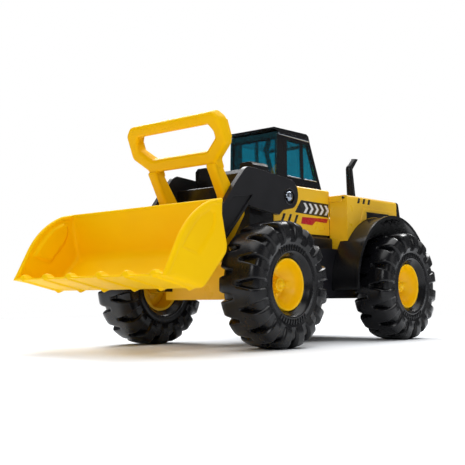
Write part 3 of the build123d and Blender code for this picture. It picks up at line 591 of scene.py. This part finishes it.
def arc_points(first, middle, last, steps):
    """Points on the circle through three points."""
    a, b, c = Vector(first), Vector(middle), Vector(last)
    turn = 2 * ((b - a).x * (c - a).y - (b - a).y * (c - a).x)
    to_b, to_c = (b - a).length_squared, (c - a).length_squared
    centre = a + Vector((
        ((c - a).y * to_b - (b - a).y * to_c) / turn, ((b - a).x * to_c - (c - a).x * to_b) / turn))
    start = a - centre
    sweep = atan2(start.x * (c - centre).y - start.y * (c - centre).x, start.dot(c - centre))
    return [centre + Matrix.Rotation(sweep * step / steps, 2) @ start for step in range(steps + 1)]


def along(points, share):
    """(point, direction) at a share of a polyline's length."""
    lengths = [(after - before).length for before, after in zip(points, points[1:])]
    left = share * sum(lengths)
    for index, length in enumerate(lengths):
        if left <= length or index == len(lengths) - 1:
            heading = (points[index + 1] - points[index]).normalized()
            return points[index] + heading * left, heading
        left -= length


def inside_distance(point, outline):
    """How far a point lies inside a convex outline, 0 outside it."""
    nearest = 1e9
    corners = [Vector(corner) for corner in outline]
    middle = sum(corners, Vector((0, 0))) / len(corners)
    for index, corner in enumerate(corners):
        edge = (corner - corners[index - 1]).normalized()
        side = left_of(edge)
        if side.dot(middle - corner) < 0:
            side = -side
        nearest = min(nearest, side.dot(point - corner))
    return max(0.0, nearest)


def bucket_columns():
    """Y places across the floor, from the left: close together at each rib."""
    across = {0, FLAT_HALF_WIDTH, -FLAT_HALF_WIDTH}
    for rib in RIB_PLACES:
        across.update(rib + offset for offset in RIB_COLUMNS)
    return sorted(value for value in across if abs(value) <= FLAT_HALF_WIDTH)[::-1]


def side_wall_points(rim, foot, half, inner):
    """(place in X and Z, distance from the middle plane) down a side wall, from its rim."""
    bead_hand = -1 if inner else 1
    points = []
    for step in range(WALL_STEPS + 1):
        place = rim.lerp(foot, step / WALL_STEPS)
        dip = PANEL_DIP * ramp(0, PANEL_SLOPE, inside_distance(place, PANEL))
        bead = BEAD_HEIGHT * (1 - ramp(*BEAD_BAND, (place - rim).length)) * bead_hand
        points.append((place, half - dip + bead))
    return points


def floor_lift(y, from_lip, inner):
    """How far the floor stands off its path: teeth on the inner skin, ribs under the outer one."""
    nearest = min(abs(y - rib) for rib in RIB_PLACES)
    if inner:
        across = min(1.0, 1.5 * hump(nearest, TOOTH_HALF_WIDTH))
        return TOOTH_HEIGHT * across * (1 - ramp(*TOOTH_SLOPE, from_lip))
    on_floor = 1 - ramp(FLOOR_LENGTH - 2, FLOOR_LENGTH + 4, from_lip)
    rib = RIB_HEIGHT * hump(nearest, RIB_HALF_WIDTH) * on_floor
    at_foot = hump(from_lip - FLOOR_LENGTH + 1, RIB_FOOT_HALF_LENGTH)
    return -rib - RIB_FOOT_HEIGHT * hump(nearest, RIB_FOOT_HALF_WIDTH) * at_foot


def bucket_skin(path, edge, inner):
    """One skin of the bucket as rows of points, from the left edge over the floor to the right one."""
    wall = BUCKET_WALL if inner else 0
    half = BUCKET_HALF_WIDTH - wall
    bend = BUCKET_CORNERS["inner" if inner else "outer"]
    lengths = [0.0]
    for (before, _), (after, _) in zip(path, path[1:]):
        lengths.append(lengths[-1] + (after - before).length)
    rows = []
    for (point, normal), length in zip(path, lengths):
        from_lip = lengths[-1] - length
        rim, _ = along(edge, length / lengths[-1])
        base = point + normal * wall * min(1.0, LIP_SHARE + from_lip / LIP_TAPER)
        depth = max(0.0, (rim - base).dot(normal))
        corner = min(bend, 0.6 * depth)
        side = side_wall_points(rim, base + normal * corner, half, inner)
        for step in range(1, CORNER_STEPS):
            angle = pi / 2 * (1 - step / CORNER_STEPS)
            side.append((base + normal * corner * (1 - cos(angle)), half - corner + corner * sin(angle)))
        floor = [(base + normal * floor_lift(y, from_lip, inner), y) for y in bucket_columns()]
        row = [(place.x, y, place.y) for place, y in side + floor]
        row += [(place.x, -y, place.y) for place, y in reversed(side)]
        rows.append(row)
    return rows


def rim_heading(row, rows, edge):
    """Outward direction of the rim at one row of the skins."""
    if row == 0:
        return Vector((0.2, 0, 0.98))
    if row == rows - 1:
        return Vector((0.97, 0, 0.22))
    _, heading = along(edge, row / (rows - 1))
    return Vector((-heading.y, 0, heading.x))


def bucket_body():
    """Closed bucket shell: an inner and an outer skin joined by a rounded rim."""
    path = rounded_path(BUCKET_BACK, BUCKET_BENDS, 2.0)
    edge = [Vector(BUCKET_BACK[0])] + arc_points(*reversed(BUCKET_EDGE_ARC), 24)
    edge += [Vector(BUCKET_TIP), Vector(BUCKET_BACK[-1])]
    inner = bucket_skin(path, edge, True)
    outer = bucket_skin(path, edge, False)
    rows, columns = len(inner), len(inner[0])
    vertices = [point for skin in (inner, outer) for row in skin for point in row]
    offset = rows * columns
    faces = grid_faces(rows, columns)
    faces += [tuple(index + offset for index in face) for face in grid_faces(rows, columns)]
    ring = [(0, column) for column in range(columns)]
    ring += [(row, columns - 1) for row in range(1, rows)]
    ring += [(rows - 1, column) for column in reversed(range(columns - 1))]
    ring += [(row, 0) for row in reversed(range(1, rows - 1))]
    chains = []
    for row, column in ring:
        start = len(vertices)
        a, b = Vector(inner[row][column]), Vector(outer[row][column])
        middle, across = (a + b) / 2, (a - b) / 2
        outward = rim_heading(row, rows, edge) * min(RIM_HEIGHT, across.length)
        for step in range(1, RIM_STEPS + 1):
            angle = pi * step / (RIM_STEPS + 1)
            vertices.append(middle + across * cos(angle) + outward * sin(angle))
        skin_index = row * columns + column
        chains.append([skin_index, *range(start, start + RIM_STEPS), offset + skin_index])
    for here, there in zip(chains, chains[1:] + chains[:1]):
        for step in range(RIM_STEPS + 1):
            faces.append((here[step], there[step], there[step + 1], here[step + 1]))
    return mesh_from(vertices, faces)


LUG_CIRCLES = [((130, 122), 6), ((173.8, 123), 2), ((184.5, 91), 2)]
LUG_HINGE_RADIUS = 12
LUG_NOTCH = (176.6, 102.5)
LUG_SPAN = (38, 46.1)


def bucket_lugs():
    """Lugs behind the bucket, notched where its back is bent, for the hinge pin and the handle's plates."""
    hinge = joint_point_mm("bucket_tilt")
    outline = hull_outline([((hinge.x, hinge.z), LUG_HINGE_RADIUS)] + LUG_CIRCLES)
    for index, point in enumerate(outline):
        before = outline[index - 1]
        along_the_back = min(point[0], before[0]) > 170 and abs(point[1] - before[1]) > 20
        if along_the_back:
            outline.insert(index, Vector(LUG_NOTCH))
            break
    near, far = LUG_SPAN
    return [side_plate([outline], hand * near, hand * far, 0.6, 2) for hand in (1, -1)]


def build_bucket():
    meshes = [bucket_body()] + bucket_lugs()
    piece_from(
        "bucket_moulding", meshes, "bucket_yellow", "bucket", replaced=["bucket_shell"], crease_deg=60)


# ---- carrying handle ----------------------------------------------------------------------
HANDLE_LEAN = 21.6
HANDLE_FRONT = (128.5, 220.3)
HANDLE_DEPTH = 15
HANDLE_ROUNDING = 4.2
GRIP_RIBS = 23
GRIP_RIB_STEP = 4.4
GRIP_RIB_HALF_WIDTH = 0.8
GRIP_RIB_HEIGHTS = (31, 36)
GRIP_RIB_PROUD = 0.3
LEG_SPAN = (40, 54)             # distances from the middle plane
STEP_SPAN = (42.5, 51.5)
PLATE_SPAN = (46.2, 54)


def handle_plane(depth):
    """Plane across the handle, leaning forward: first axis Y, second up along the lean."""
    lean = radians(HANDLE_LEAN)
    forward = Vector((cos(lean), 0, -sin(lean)))
    upward = Vector((sin(lean), 0, cos(lean)))
    origin = Vector((HANDLE_FRONT[0], 0, HANDLE_FRONT[1])) - forward * depth
    matrix = Matrix.Identity(4)
    matrix.col[0] = (0, 1, 0, 0)
    matrix.col[1] = (*upward, 0)
    matrix.col[2] = (*forward, 0)
    matrix.col[3] = (*origin, 1)
    return matrix


def grip_loop():
    """The closed loop of the grip, with its window."""
    loop = [
        (54, -26), (54, -15), (75, 2), (75, 31), (66, 40), (-66, 40), (-75, 31), (-75, 2), (-54, -15),
        (-54, -26), (-40, -26), (-40, -17.6), (40, -17.6), (40, -26),
    ]
    loop_radii = [2, 6, 9, 9, 9, 9, 9, 9, 6, 2, 2, 3, 3, 2]
    window = [
        (44, -2.5), (61, 11), (61, 18), (55.5, 26.5), (-55.5, 26.5), (-61, 18), (-61, 11), (-44, -2.5),
    ]
    window_radii = [5, 4, 5, 4, 4, 5, 4, 5]
    outlines = [rounded_outline(loop, loop_radii), rounded_outline(window, window_radii)]
    return plate(outlines, handle_plane(HANDLE_DEPTH / 2), HANDLE_DEPTH, HANDLE_ROUNDING, 5)


def grip_ribs():
    """Fine ribs across the grip, front and back."""
    low, high = GRIP_RIB_HEIGHTS
    plane = handle_plane(HANDLE_DEPTH / 2)
    meshes = []
    for rib in range(GRIP_RIBS):
        y = (rib - (GRIP_RIBS - 1) / 2) * GRIP_RIB_STEP
        left, right = y - GRIP_RIB_HALF_WIDTH, y + GRIP_RIB_HALF_WIDTH
        outline = [(left, low), (right, low), (right, high), (left, high)]
        meshes.append(plate([outline], plane, HANDLE_DEPTH + GRIP_RIB_PROUD, 0.14, 2))
    return meshes


def handle_side(hand):
    """One side of the handle: a pad behind the upright, the leg with its step, and the hinge plate."""
    pad = [(hand * 63.5, 6), (hand * 73.5, 6), (hand * 73.5, 28), (hand * 63.5, 28)]
    if hand < 0:
        pad.reverse()
    leg = [
        (127.2, 207.5), (106.5, 169), (114, 156), (98, 140), (83, 139.5), (72.8, 154), (94.1, 183),
        (108.4, 203),
    ]
    leg_radii = [3, 3, 2, 2, 3, 3, 6, 3]
    step = [(101, 184), (90.5, 168.5), (86, 171.5), (96.5, 187)]
    meshes = [plate([rounded_outline(pad, 2)], handle_plane(HANDLE_DEPTH), 3.2, 1.0, 2)]
    for outline, (near, far), rounding, segments in (
            (rounded_outline(leg, leg_radii), LEG_SPAN, 3.4, 4),
            (rounded_outline(step, 1), STEP_SPAN, 1.0, 2),
            (handle_plate_outline(), PLATE_SPAN, 0.9, 2)):
        meshes.append(side_plate([outline], hand * near, hand * far, rounding, segments))
    return meshes


def handle_plate_outline():
    """Side plate from the leg down to the bucket's hinge pin."""
    hinge = joint_point_mm("bucket_tilt")
    circles = [((hinge.x, hinge.z), 11.8), ((112, 152), 6), ((80, 153), 7), ((99, 124), 6)]
    return hull_outline(circles)


def build_handle():
    meshes = [grip_loop()] + grip_ribs() + handle_side(1) + handle_side(-1)
    piece_from(
        "handle_moulding", meshes, "handle_orange", "bucket",
        replaced=["bucket_handle"], crease_deg=50)


# ---- fenders and exhaust ------------------------------------------------------------------
FENDER_BEAD_RADIUS = 2.15
FENDER_BEAD_ARCH = 91.9         # radius of the arch along the bead's middle
FENDER_BEAD_INSET = 2.2
FENDER_BEAD_START, FENDER_BEAD_SWEEP = -3, 154      # degrees


def build_fender_beads():
    """Rolled outer edge on each rear fender, over the CAD arch."""
    wheel = joint_point_mm("rear_left_roll")
    _, high = cad_box_mm("fender_left")
    steps, sides = 72, 14
    for hand, name in ((1, "left"), (-1, "right")):
        vertices = []
        for step in range(steps + 1):
            angle = radians(FENDER_BEAD_START + FENDER_BEAD_SWEEP * step / steps)
            for side in range(sides):
                turn = 2 * pi * side / sides
                radius = FENDER_BEAD_ARCH + FENDER_BEAD_RADIUS * sin(turn)
                y = high.y - FENDER_BEAD_INSET + FENDER_BEAD_RADIUS * cos(turn)
                vertices.append((wheel.x + radius * cos(angle), hand * y, wheel.z + radius * sin(angle)))
        faces = grid_faces(steps + 1, sides, False, True)
        faces.append(tuple(range(sides)))
        faces.append(tuple(steps * sides + side for side in range(sides)))
        piece_from(f"fender_bead_{name}", [mesh_from(vertices, faces)], "black_gloss", "root")


PIPE_FOOT_X = -187
PIPE_FOOT_RISE = 4.2
PIPE_BEND = (-182.5, 233.5)
PIPE_BEND_RADIUS = 5
PIPE_LEAN_DEG = 42
PIPE_RADIUS, PIPE_TAPER, PIPE_BORE = 6.2, 1.4, 3.6
COLLAR_PROFILE = [(0.1, 7.6), (1.6, 7.6), (2.4, 7.0), (2.6, 6.2), (2.6, 3.8), (0.1, 3.8)]
COLLAR_STEPS = 40


def exhaust_tube(foot, top_z):
    """Tapering pipe with a swept bend and an open end cut level at top_z."""
    upright = Vector((0, 0, 1))
    bend = Vector((PIPE_BEND[0], foot.y, PIPE_BEND[1]))
    lean = radians(PIPE_LEAN_DEG)
    end_radius = 4.8
    stations = [(foot, upright, PIPE_RADIUS, PIPE_BORE, 1)]
    for share in (0.25, 0.5, 0.75, 1.0):
        stations.append((foot.lerp(bend, share), upright, PIPE_RADIUS - PIPE_TAPER * share, PIPE_BORE, 1))
    for step in range(1, 5):
        angle = lean * step / 4
        swing = Vector((-PIPE_BEND_RADIUS * (1 - cos(angle)), 0, PIPE_BEND_RADIUS * sin(angle)))
        stations.append((bend + swing, Vector((-sin(angle), 0, cos(angle))), end_radius, PIPE_BORE, 1))
    last, heading, _, _, _ = stations[-1]
    for drop, outer, inner in ((0.5, end_radius, 3.5), (0.15, 4.6, 3.7)):
        end = last + heading * ((top_z - drop - last.z) / heading.z)
        stations.append((end, upright, outer, inner, 1 / cos(lean)))
    return swept_tube(stations)


def exhaust_collar(foot):
    """Flat ring round the pipe's foot, on the hood."""
    vertices = []
    for step in range(COLLAR_STEPS):
        angle = 2 * pi * step / COLLAR_STEPS
        for rise, radius in COLLAR_PROFILE:
            vertices.append((foot.x + radius * cos(angle), foot.y + radius * sin(angle), foot.z + rise))
    return mesh_from(vertices, grid_faces(COLLAR_STEPS, len(COLLAR_PROFILE), True, True))


def build_exhaust():
    low, high = cad_box_mm("exhaust_stack")
    foot = Vector((PIPE_FOOT_X, (low.y + high.y) / 2, low.z + PIPE_FOOT_RISE))
    meshes = [exhaust_tube(foot, high.z), exhaust_collar(foot)]
    piece_from("exhaust_pipe", meshes, "black_gloss", "root", replaced=["exhaust_stack"])


# ---- printed film, painted shade in the hood's openings, and trim on the body -------------
FILM_SUNK, FILM_PROUD = 0.05, 0.12


def decal(name, outlines, surface_y, material):
    """Flat film on both sides of the body, standing barely proud of the paint: print, and painted shade where
    the hood has openings.
    """
    meshes = []
    for hand in (1, -1):
        for outline in outlines:
            near, far = hand * (surface_y - FILM_SUNK), hand * (surface_y + FILM_PROUD)
            meshes.append(side_plate([outline], near, far, 0.03, 0))
    piece_from(name, meshes, material, "root")


def slanted_bar(top_x, bottom_x, top_z, bottom_z, width):
    return [
        (top_x - width / 2, top_z), (top_x + width / 2, top_z),
        (bottom_x + width / 2, bottom_z), (bottom_x - width / 2, bottom_z),
    ]


def chevron(x):
    """An arrowhead pointing to the rear, from its front edge."""
    top, middle, bottom = 175.8, 169.3, 162.9
    return [
        (x, top), (x - 5, top), (x - 10.5, middle), (x - 5, bottom), (x, bottom), (x - 5.5, middle),
    ]


def build_decals():
    _, high = cad_box_mm("cab_base_shell")
    face = high.y
    band = [(-49.2, 178.9), (-109.8, 178.1), (-108.6, 160.1), (-36, 162.4)]
    decal("film_band", [band], face, "ink_and_painted_shade_black")
    chevrons = [chevron(-54 - index * 11.5) for index in range(5)]
    decal("film_chevrons", chevrons, face + FILM_PROUD, "ink_white")
    swoosh = [(-51.5, 157.6), (-48.4, 149), (-72.5, 148), (-80, 153.4), (-105, 153), (-108.2, 158.6)]
    decal("film_stripe", [swoosh], face, "ink_red")
    bars = [slanted_bar(-14.6 - 13.3 * i, -8.4 - 12.6 * i, 159.5, 147.8 - 1.4 * i, 4.6) for i in range(3)]
    decal("film_bars", bars, face, "ink_and_painted_shade_black")


HOOD_SLOTS = (-139.5, -152, -164.5)
SLOT_TOP, SLOT_BOTTOM = 186.4, 179.6
RELIEF_RADIUS = 1.5
RELIEF_INSET = (5.2, 3.6)       # from the hood's side and from its top
PANEL_ARCH = 93.2               # radius of the panels' edge over the fender
PANEL_TOP = 174.5
VENT_FLOOR = 148


def build_hood_opening_shade():
    """Flat black film painted as the shade inside slanted slots high on each side of the hood, and inside a
    relief hole at each front corner.
    """
    _, high = cad_box_mm("engine_hood_shell")
    slots = [
        [(x - 3.9, SLOT_TOP), (x + 1.1, SLOT_TOP), (x + 3.7, SLOT_BOTTOM), (x - 1.3, SLOT_BOTTOM)]
        for x in HOOD_SLOTS
    ]
    # painted shade: the slots are flat black film, standing in for the shade inside them
    decal("hood_slots_painted_shade", slots, high.y, "ink_and_painted_shade_black")
    from_side, from_top = RELIEF_INSET
    holes = []
    for hand in (1, -1):
        hole = circle_outline((hand * (high.y - from_side), high.z - from_top), RELIEF_RADIUS)
        # painted shade: each relief hole is a flat black disc, standing in for the shade inside it
        holes.append(plate([hole], front_plane(high.x + 1.2), 2.6, 0.1, 1))
    piece_from("hood_relief_holes_painted_shade", holes, "ink_and_painted_shade_black", "root")


def build_hood_panels():
    """Pressed panel round each side vent, ending at the fender."""
    _, high = cad_box_mm("engine_hood_shell")
    wheel = joint_point_mm("rear_left_roll")
    arch = []
    for x in range(-230, -141, 4):
        arch.append((x, wheel.z + (PANEL_ARCH**2 - (x - wheel.x) ** 2) ** 0.5))
    frame_outline = arch + [(-142.6, 158), (-149, PANEL_TOP), (-230, PANEL_TOP)]
    vent = [(-157.5, 160.2), (-157.5, 169.5), (-217, 169.5), (-217, 160.2)]
    vent += [(x, max(z, VENT_FLOOR)) for x, z in arch if -215 < x < -159]
    meshes = [
        side_plate([frame_outline, vent], hand * (high.y - 0.1), hand * (high.y + 0.45), 0.25, 1)
        for hand in (1, -1)
    ]
    piece_from("hood_side_panels", meshes, "body_paint", "root")


def build_hood_trim():
    """Folded tabs along the hood's front top edge, one on each side of the cab's box."""
    _, high = cad_box_mm("engine_hood_shell")
    _, base_high = cad_box_mm("cab_base_shell")
    top, bottom = high.z - 0.4, high.z - 8.5
    near = base_high.y + 0.4
    meshes = []
    for hand in (1, -1):
        tab = [(near, top), (high.y - 5.5, top), (high.y - 8.5, bottom), (near, bottom)]
        if hand < 0:
            tab = [(-y, z) for y, z in tab][::-1]
        meshes.append(plate([rounded_outline(tab, 1.2)], front_plane(high.x + 0.3), 2.0, 0.6, 2))
    piece_from("hood_tabs", meshes, "body_paint", "root")


WINDOW_SILLS = [
    [(-57.9, 206.9), (-28.6, 207.5), (-28.6, 209.1), (-57.9, 208.5)],
    [(-92.2, 206.5), (-63.6, 206.5), (-63.6, 208.1), (-92.2, 208.1)],
]
GUTTER = [(-75.6, 256.6), (-11, 258.4), (-11, 261.4), (-75, 259.6)]
CAB_SIDE_INSET = 1.8            # from the widest part of the frame


def build_cab_trim():
    """Raised sills under the side windows and a rolled gutter above them."""
    _, high = cad_box_mm("cab_frame")
    side_y = high.y - CAB_SIDE_INSET
    root_y = side_y - 0.6
    meshes = []
    for hand in (1, -1):
        for sill in WINDOW_SILLS:
            outline = rounded_outline(sill, 0.6)
            meshes.append(side_plate([outline], hand * root_y, hand * (side_y + 0.9), 0.7, 3))
        meshes.append(side_plate([rounded_outline(GUTTER, 1)], hand * root_y, hand * high.y, 1.1, 4))
    piece_from("cab_trim", meshes, "cap_black", "root")


def build_pivot_trim():
    """Raised ring and a wide domed cover on each end of the lift arms' hinge."""
    hinge = joint_point_mm("arm_lift")
    _, arm_high = cad_box_mm("lift_arm_left")
    _, cap_high = cad_box_mm("arm_pivot_cap_left")
    arm, cap = arm_high.y, cap_high.y
    dome = [
        (arm - 1.5, 6.8), (arm - 0.6, 6.8), (arm + 0.8, 6.2), (arm + 2.0, 4.8), (cap - 0.1, 2.6),
        (cap + 0.15, 0.02), (arm - 1.5, 0.02),
    ]
    ring = [
        (arm - 0.3, 10.6), (arm + 0.5, 10.3), (arm + 0.8, 9.6), (arm + 0.5, 8.9), (arm - 1.4, 8.6),
        (arm - 1.4, 10.6),
    ]
    middle = Vector((hinge.x, 0, hinge.z))
    for name, profile, material, slot in (
            ("pivot_dome", dome, "cap_black", "chrome_cap"),
            ("pivot_ring", ring, "black_gloss", "black_gloss")):
        meshes = [ring_solid(profile, 64, middle, hand) for hand in (1, -1)]
        piece_from(name, meshes, material, "arms")


# ---- carried-over CAD nodes ---------------------------------------------------------------
# edge rounding and the nodes, for each material; any other node is steel or a cap
NODE_LOOKS = {
    "body_paint": (0.9, ["nose_panel", "cab_base_shell", "engine_hood_shell"]),
    "black_gloss": (0.7, [
        "cab_frame", "fender_left", "fender_right", "front_console", "arm_crossbar", "rear_grille",
    ]),
    "black_satin": (0.6, [
        "chassis_frame", "underbody_cover", "side_sill_left", "side_sill_right", "vent_insert_left",
        "vent_insert_right", "lift_arm_left", "lift_arm_right", "pivot_spacer_left", "pivot_spacer_right",
    ]),
    "glazing": (0.0, ["cab_glazing"]),
}
SMALL_ROUNDING = 0.15           # for nodes without a rounding of their own


def node_look(name, looks):
    """(material, edge rounding) of a CAD node."""
    if name.startswith("axle_cap"):
        return "hub_yellow", 0.0
    if "cap" in name:
        return "cap_black", 0.0
    return looks.get(name, ("steel", 0.0))


def dress_cad_nodes():
    looks = {node: (material, width) for material, (width, nodes) in NODE_LOOKS.items() for node in nodes}
    for name, node in NODES.items():
        material, width = node_look(name, looks)
        node.data.materials.clear()
        node.data.materials.append(MATERIALS[material])
        if width:
            soften(name, width)
        else:
            soften(name, SMALL_ROUNDING, 1)


# ---- stage --------------------------------------------------------------------------------
FLOOR_REACH = 1.4               # metres


def build_floor():
    mesh = bpy.data.meshes.new("floor")
    corners = [(x * FLOOR_REACH, y * FLOOR_REACH, 0) for x, y in ((-1, -1), (1, -1), (1, 1), (-1, 1))]
    mesh.from_pydata(corners, [], [(0, 1, 2, 3)])
    material, tree, shader, place = shader_material("floor_white")
    shade = spread(tree, noise(tree, place, 3, 2), 0, 1)
    tree.links.new(two_tone(tree, shade, (0.9, 0.92, 0.95), (0.92, 0.94, 0.97)), shader.inputs["Base Color"])
    shader.inputs["Roughness"].default_value = 0.6
    mesh.materials.append(material)
    floor = bpy.data.objects.new("floor", mesh)
    bpy.context.scene.collection.objects.link(floor)


SKY_POWER = 2.75
SKY_ANGLE_DEG = 75
SKY_FROM = (-0.1, -0.12, 1)
AREA_TARGET = (0, 0, 0.12)      # metres

# name: (place in metres, width, height, power)
AREA_LIGHTS = {
    "back_left": ((-1.15, 0.05, 1.25), 0.5, 0.5, 10),
    "back_right": ((-0.6, -1.0, 1.15), 0.6, 0.6, 12),
    "side_panel": ((-0.75, 1.35, 0.55), 0.7, 0.9, 1.5),
    "key": ((1.35, 0.85, 0.9), 0.6, 0.6, 6),
}


def place_light(light, place, direction):
    """Puts a lamp in the scene, shining against a direction."""
    holder = bpy.data.objects.new(light.name, light)
    holder.location = place
    holder.rotation_mode = "QUATERNION"
    holder.rotation_quaternion = direction.to_track_quat("Z", "Y")
    bpy.context.scene.collection.objects.link(holder)


def build_lights():
    """One wide soft sky lamp, and four panels that draw the highlights."""
    sky = bpy.data.lights.new("sky", "SUN")
    sky.energy = SKY_POWER
    sky.angle = radians(SKY_ANGLE_DEG)
    place_light(sky, (0, 0, 0), Vector(SKY_FROM))
    for name, (place, width, height, power) in AREA_LIGHTS.items():
        light = bpy.data.lights.new(name, "AREA")
        light.shape = "RECTANGLE"
        light.size = width
        light.size_y = height
        light.energy = power
        place_light(light, place, Vector(place) - Vector(AREA_TARGET))


WORLD_LIGHT = 0.16


def background(tree, colour, strength):
    node = tree.nodes.new("ShaderNodeBackground")
    node.inputs["Color"].default_value = (*colour, 1)
    node.inputs["Strength"].default_value = strength
    return node


def build_world():
    """Even pale surroundings; what the camera sees directly, or through the windows, is white."""
    world = bpy.data.worlds.new("studio")
    bpy.context.scene.world = world
    world.use_nodes = True
    tree = world.node_tree
    tree.nodes.clear()
    seen = tree.nodes.new("ShaderNodeLightPath")
    either = tree.nodes.new("ShaderNodeMath")
    either.operation = "MAXIMUM"
    tree.links.new(seen.outputs["Is Camera Ray"], either.inputs[0])
    tree.links.new(seen.outputs["Is Transmission Ray"], either.inputs[1])
    lighting = background(tree, (0.95, 0.97, 1.0), WORLD_LIGHT)
    backdrop = background(tree, (1, 1, 1), 1.0)
    mix = tree.nodes.new("ShaderNodeMixShader")
    output = tree.nodes.new("ShaderNodeOutputWorld")
    tree.links.new(either.outputs[0], mix.inputs[0])
    tree.links.new(lighting.outputs[0], mix.inputs[1])
    tree.links.new(backdrop.outputs[0], mix.inputs[2])
    tree.links.new(mix.outputs[0], output.inputs[0])


CAMERA_PLACE = (0.808255, 0.676269, 0.054236)       # metres
CAMERA_YAW, CAMERA_PITCH, CAMERA_ROLL = -138.91, 4.531, -0.485      # degrees
CAMERA_LENS = 65.36
CAMERA_SENSOR = 36


def build_camera():
    camera = bpy.data.cameras.new("camera")
    camera.lens = CAMERA_LENS
    camera.sensor_width = CAMERA_SENSOR
    camera.clip_start = 0.02
    camera.clip_end = 50
    holder = bpy.data.objects.new("camera", camera)
    yaw, pitch, roll = radians(CAMERA_YAW), radians(CAMERA_PITCH), radians(CAMERA_ROLL)
    turned = Matrix.Rotation(yaw - pi / 2, 4, "Z") @ Matrix.Rotation(pi / 2 + pitch, 4, "X")
    holder.matrix_world = Matrix.Translation(CAMERA_PLACE) @ turned @ Matrix.Rotation(roll, 4, "Z")
    bpy.context.scene.collection.objects.link(holder)
    bpy.context.scene.camera = holder
    bpy.context.scene.view_settings.view_transform = "Standard"


# ---- assembly -----------------------------------------------------------------------------
dress_cad_nodes()
build_wheels()
build_bucket()
build_handle()
build_fender_beads()
build_exhaust()
build_decals()
build_hood_opening_shade()
build_hood_panels()
build_hood_trim()
build_cab_trim()
build_pivot_trim()
build_floor()
build_world()
build_lights()
build_camera()
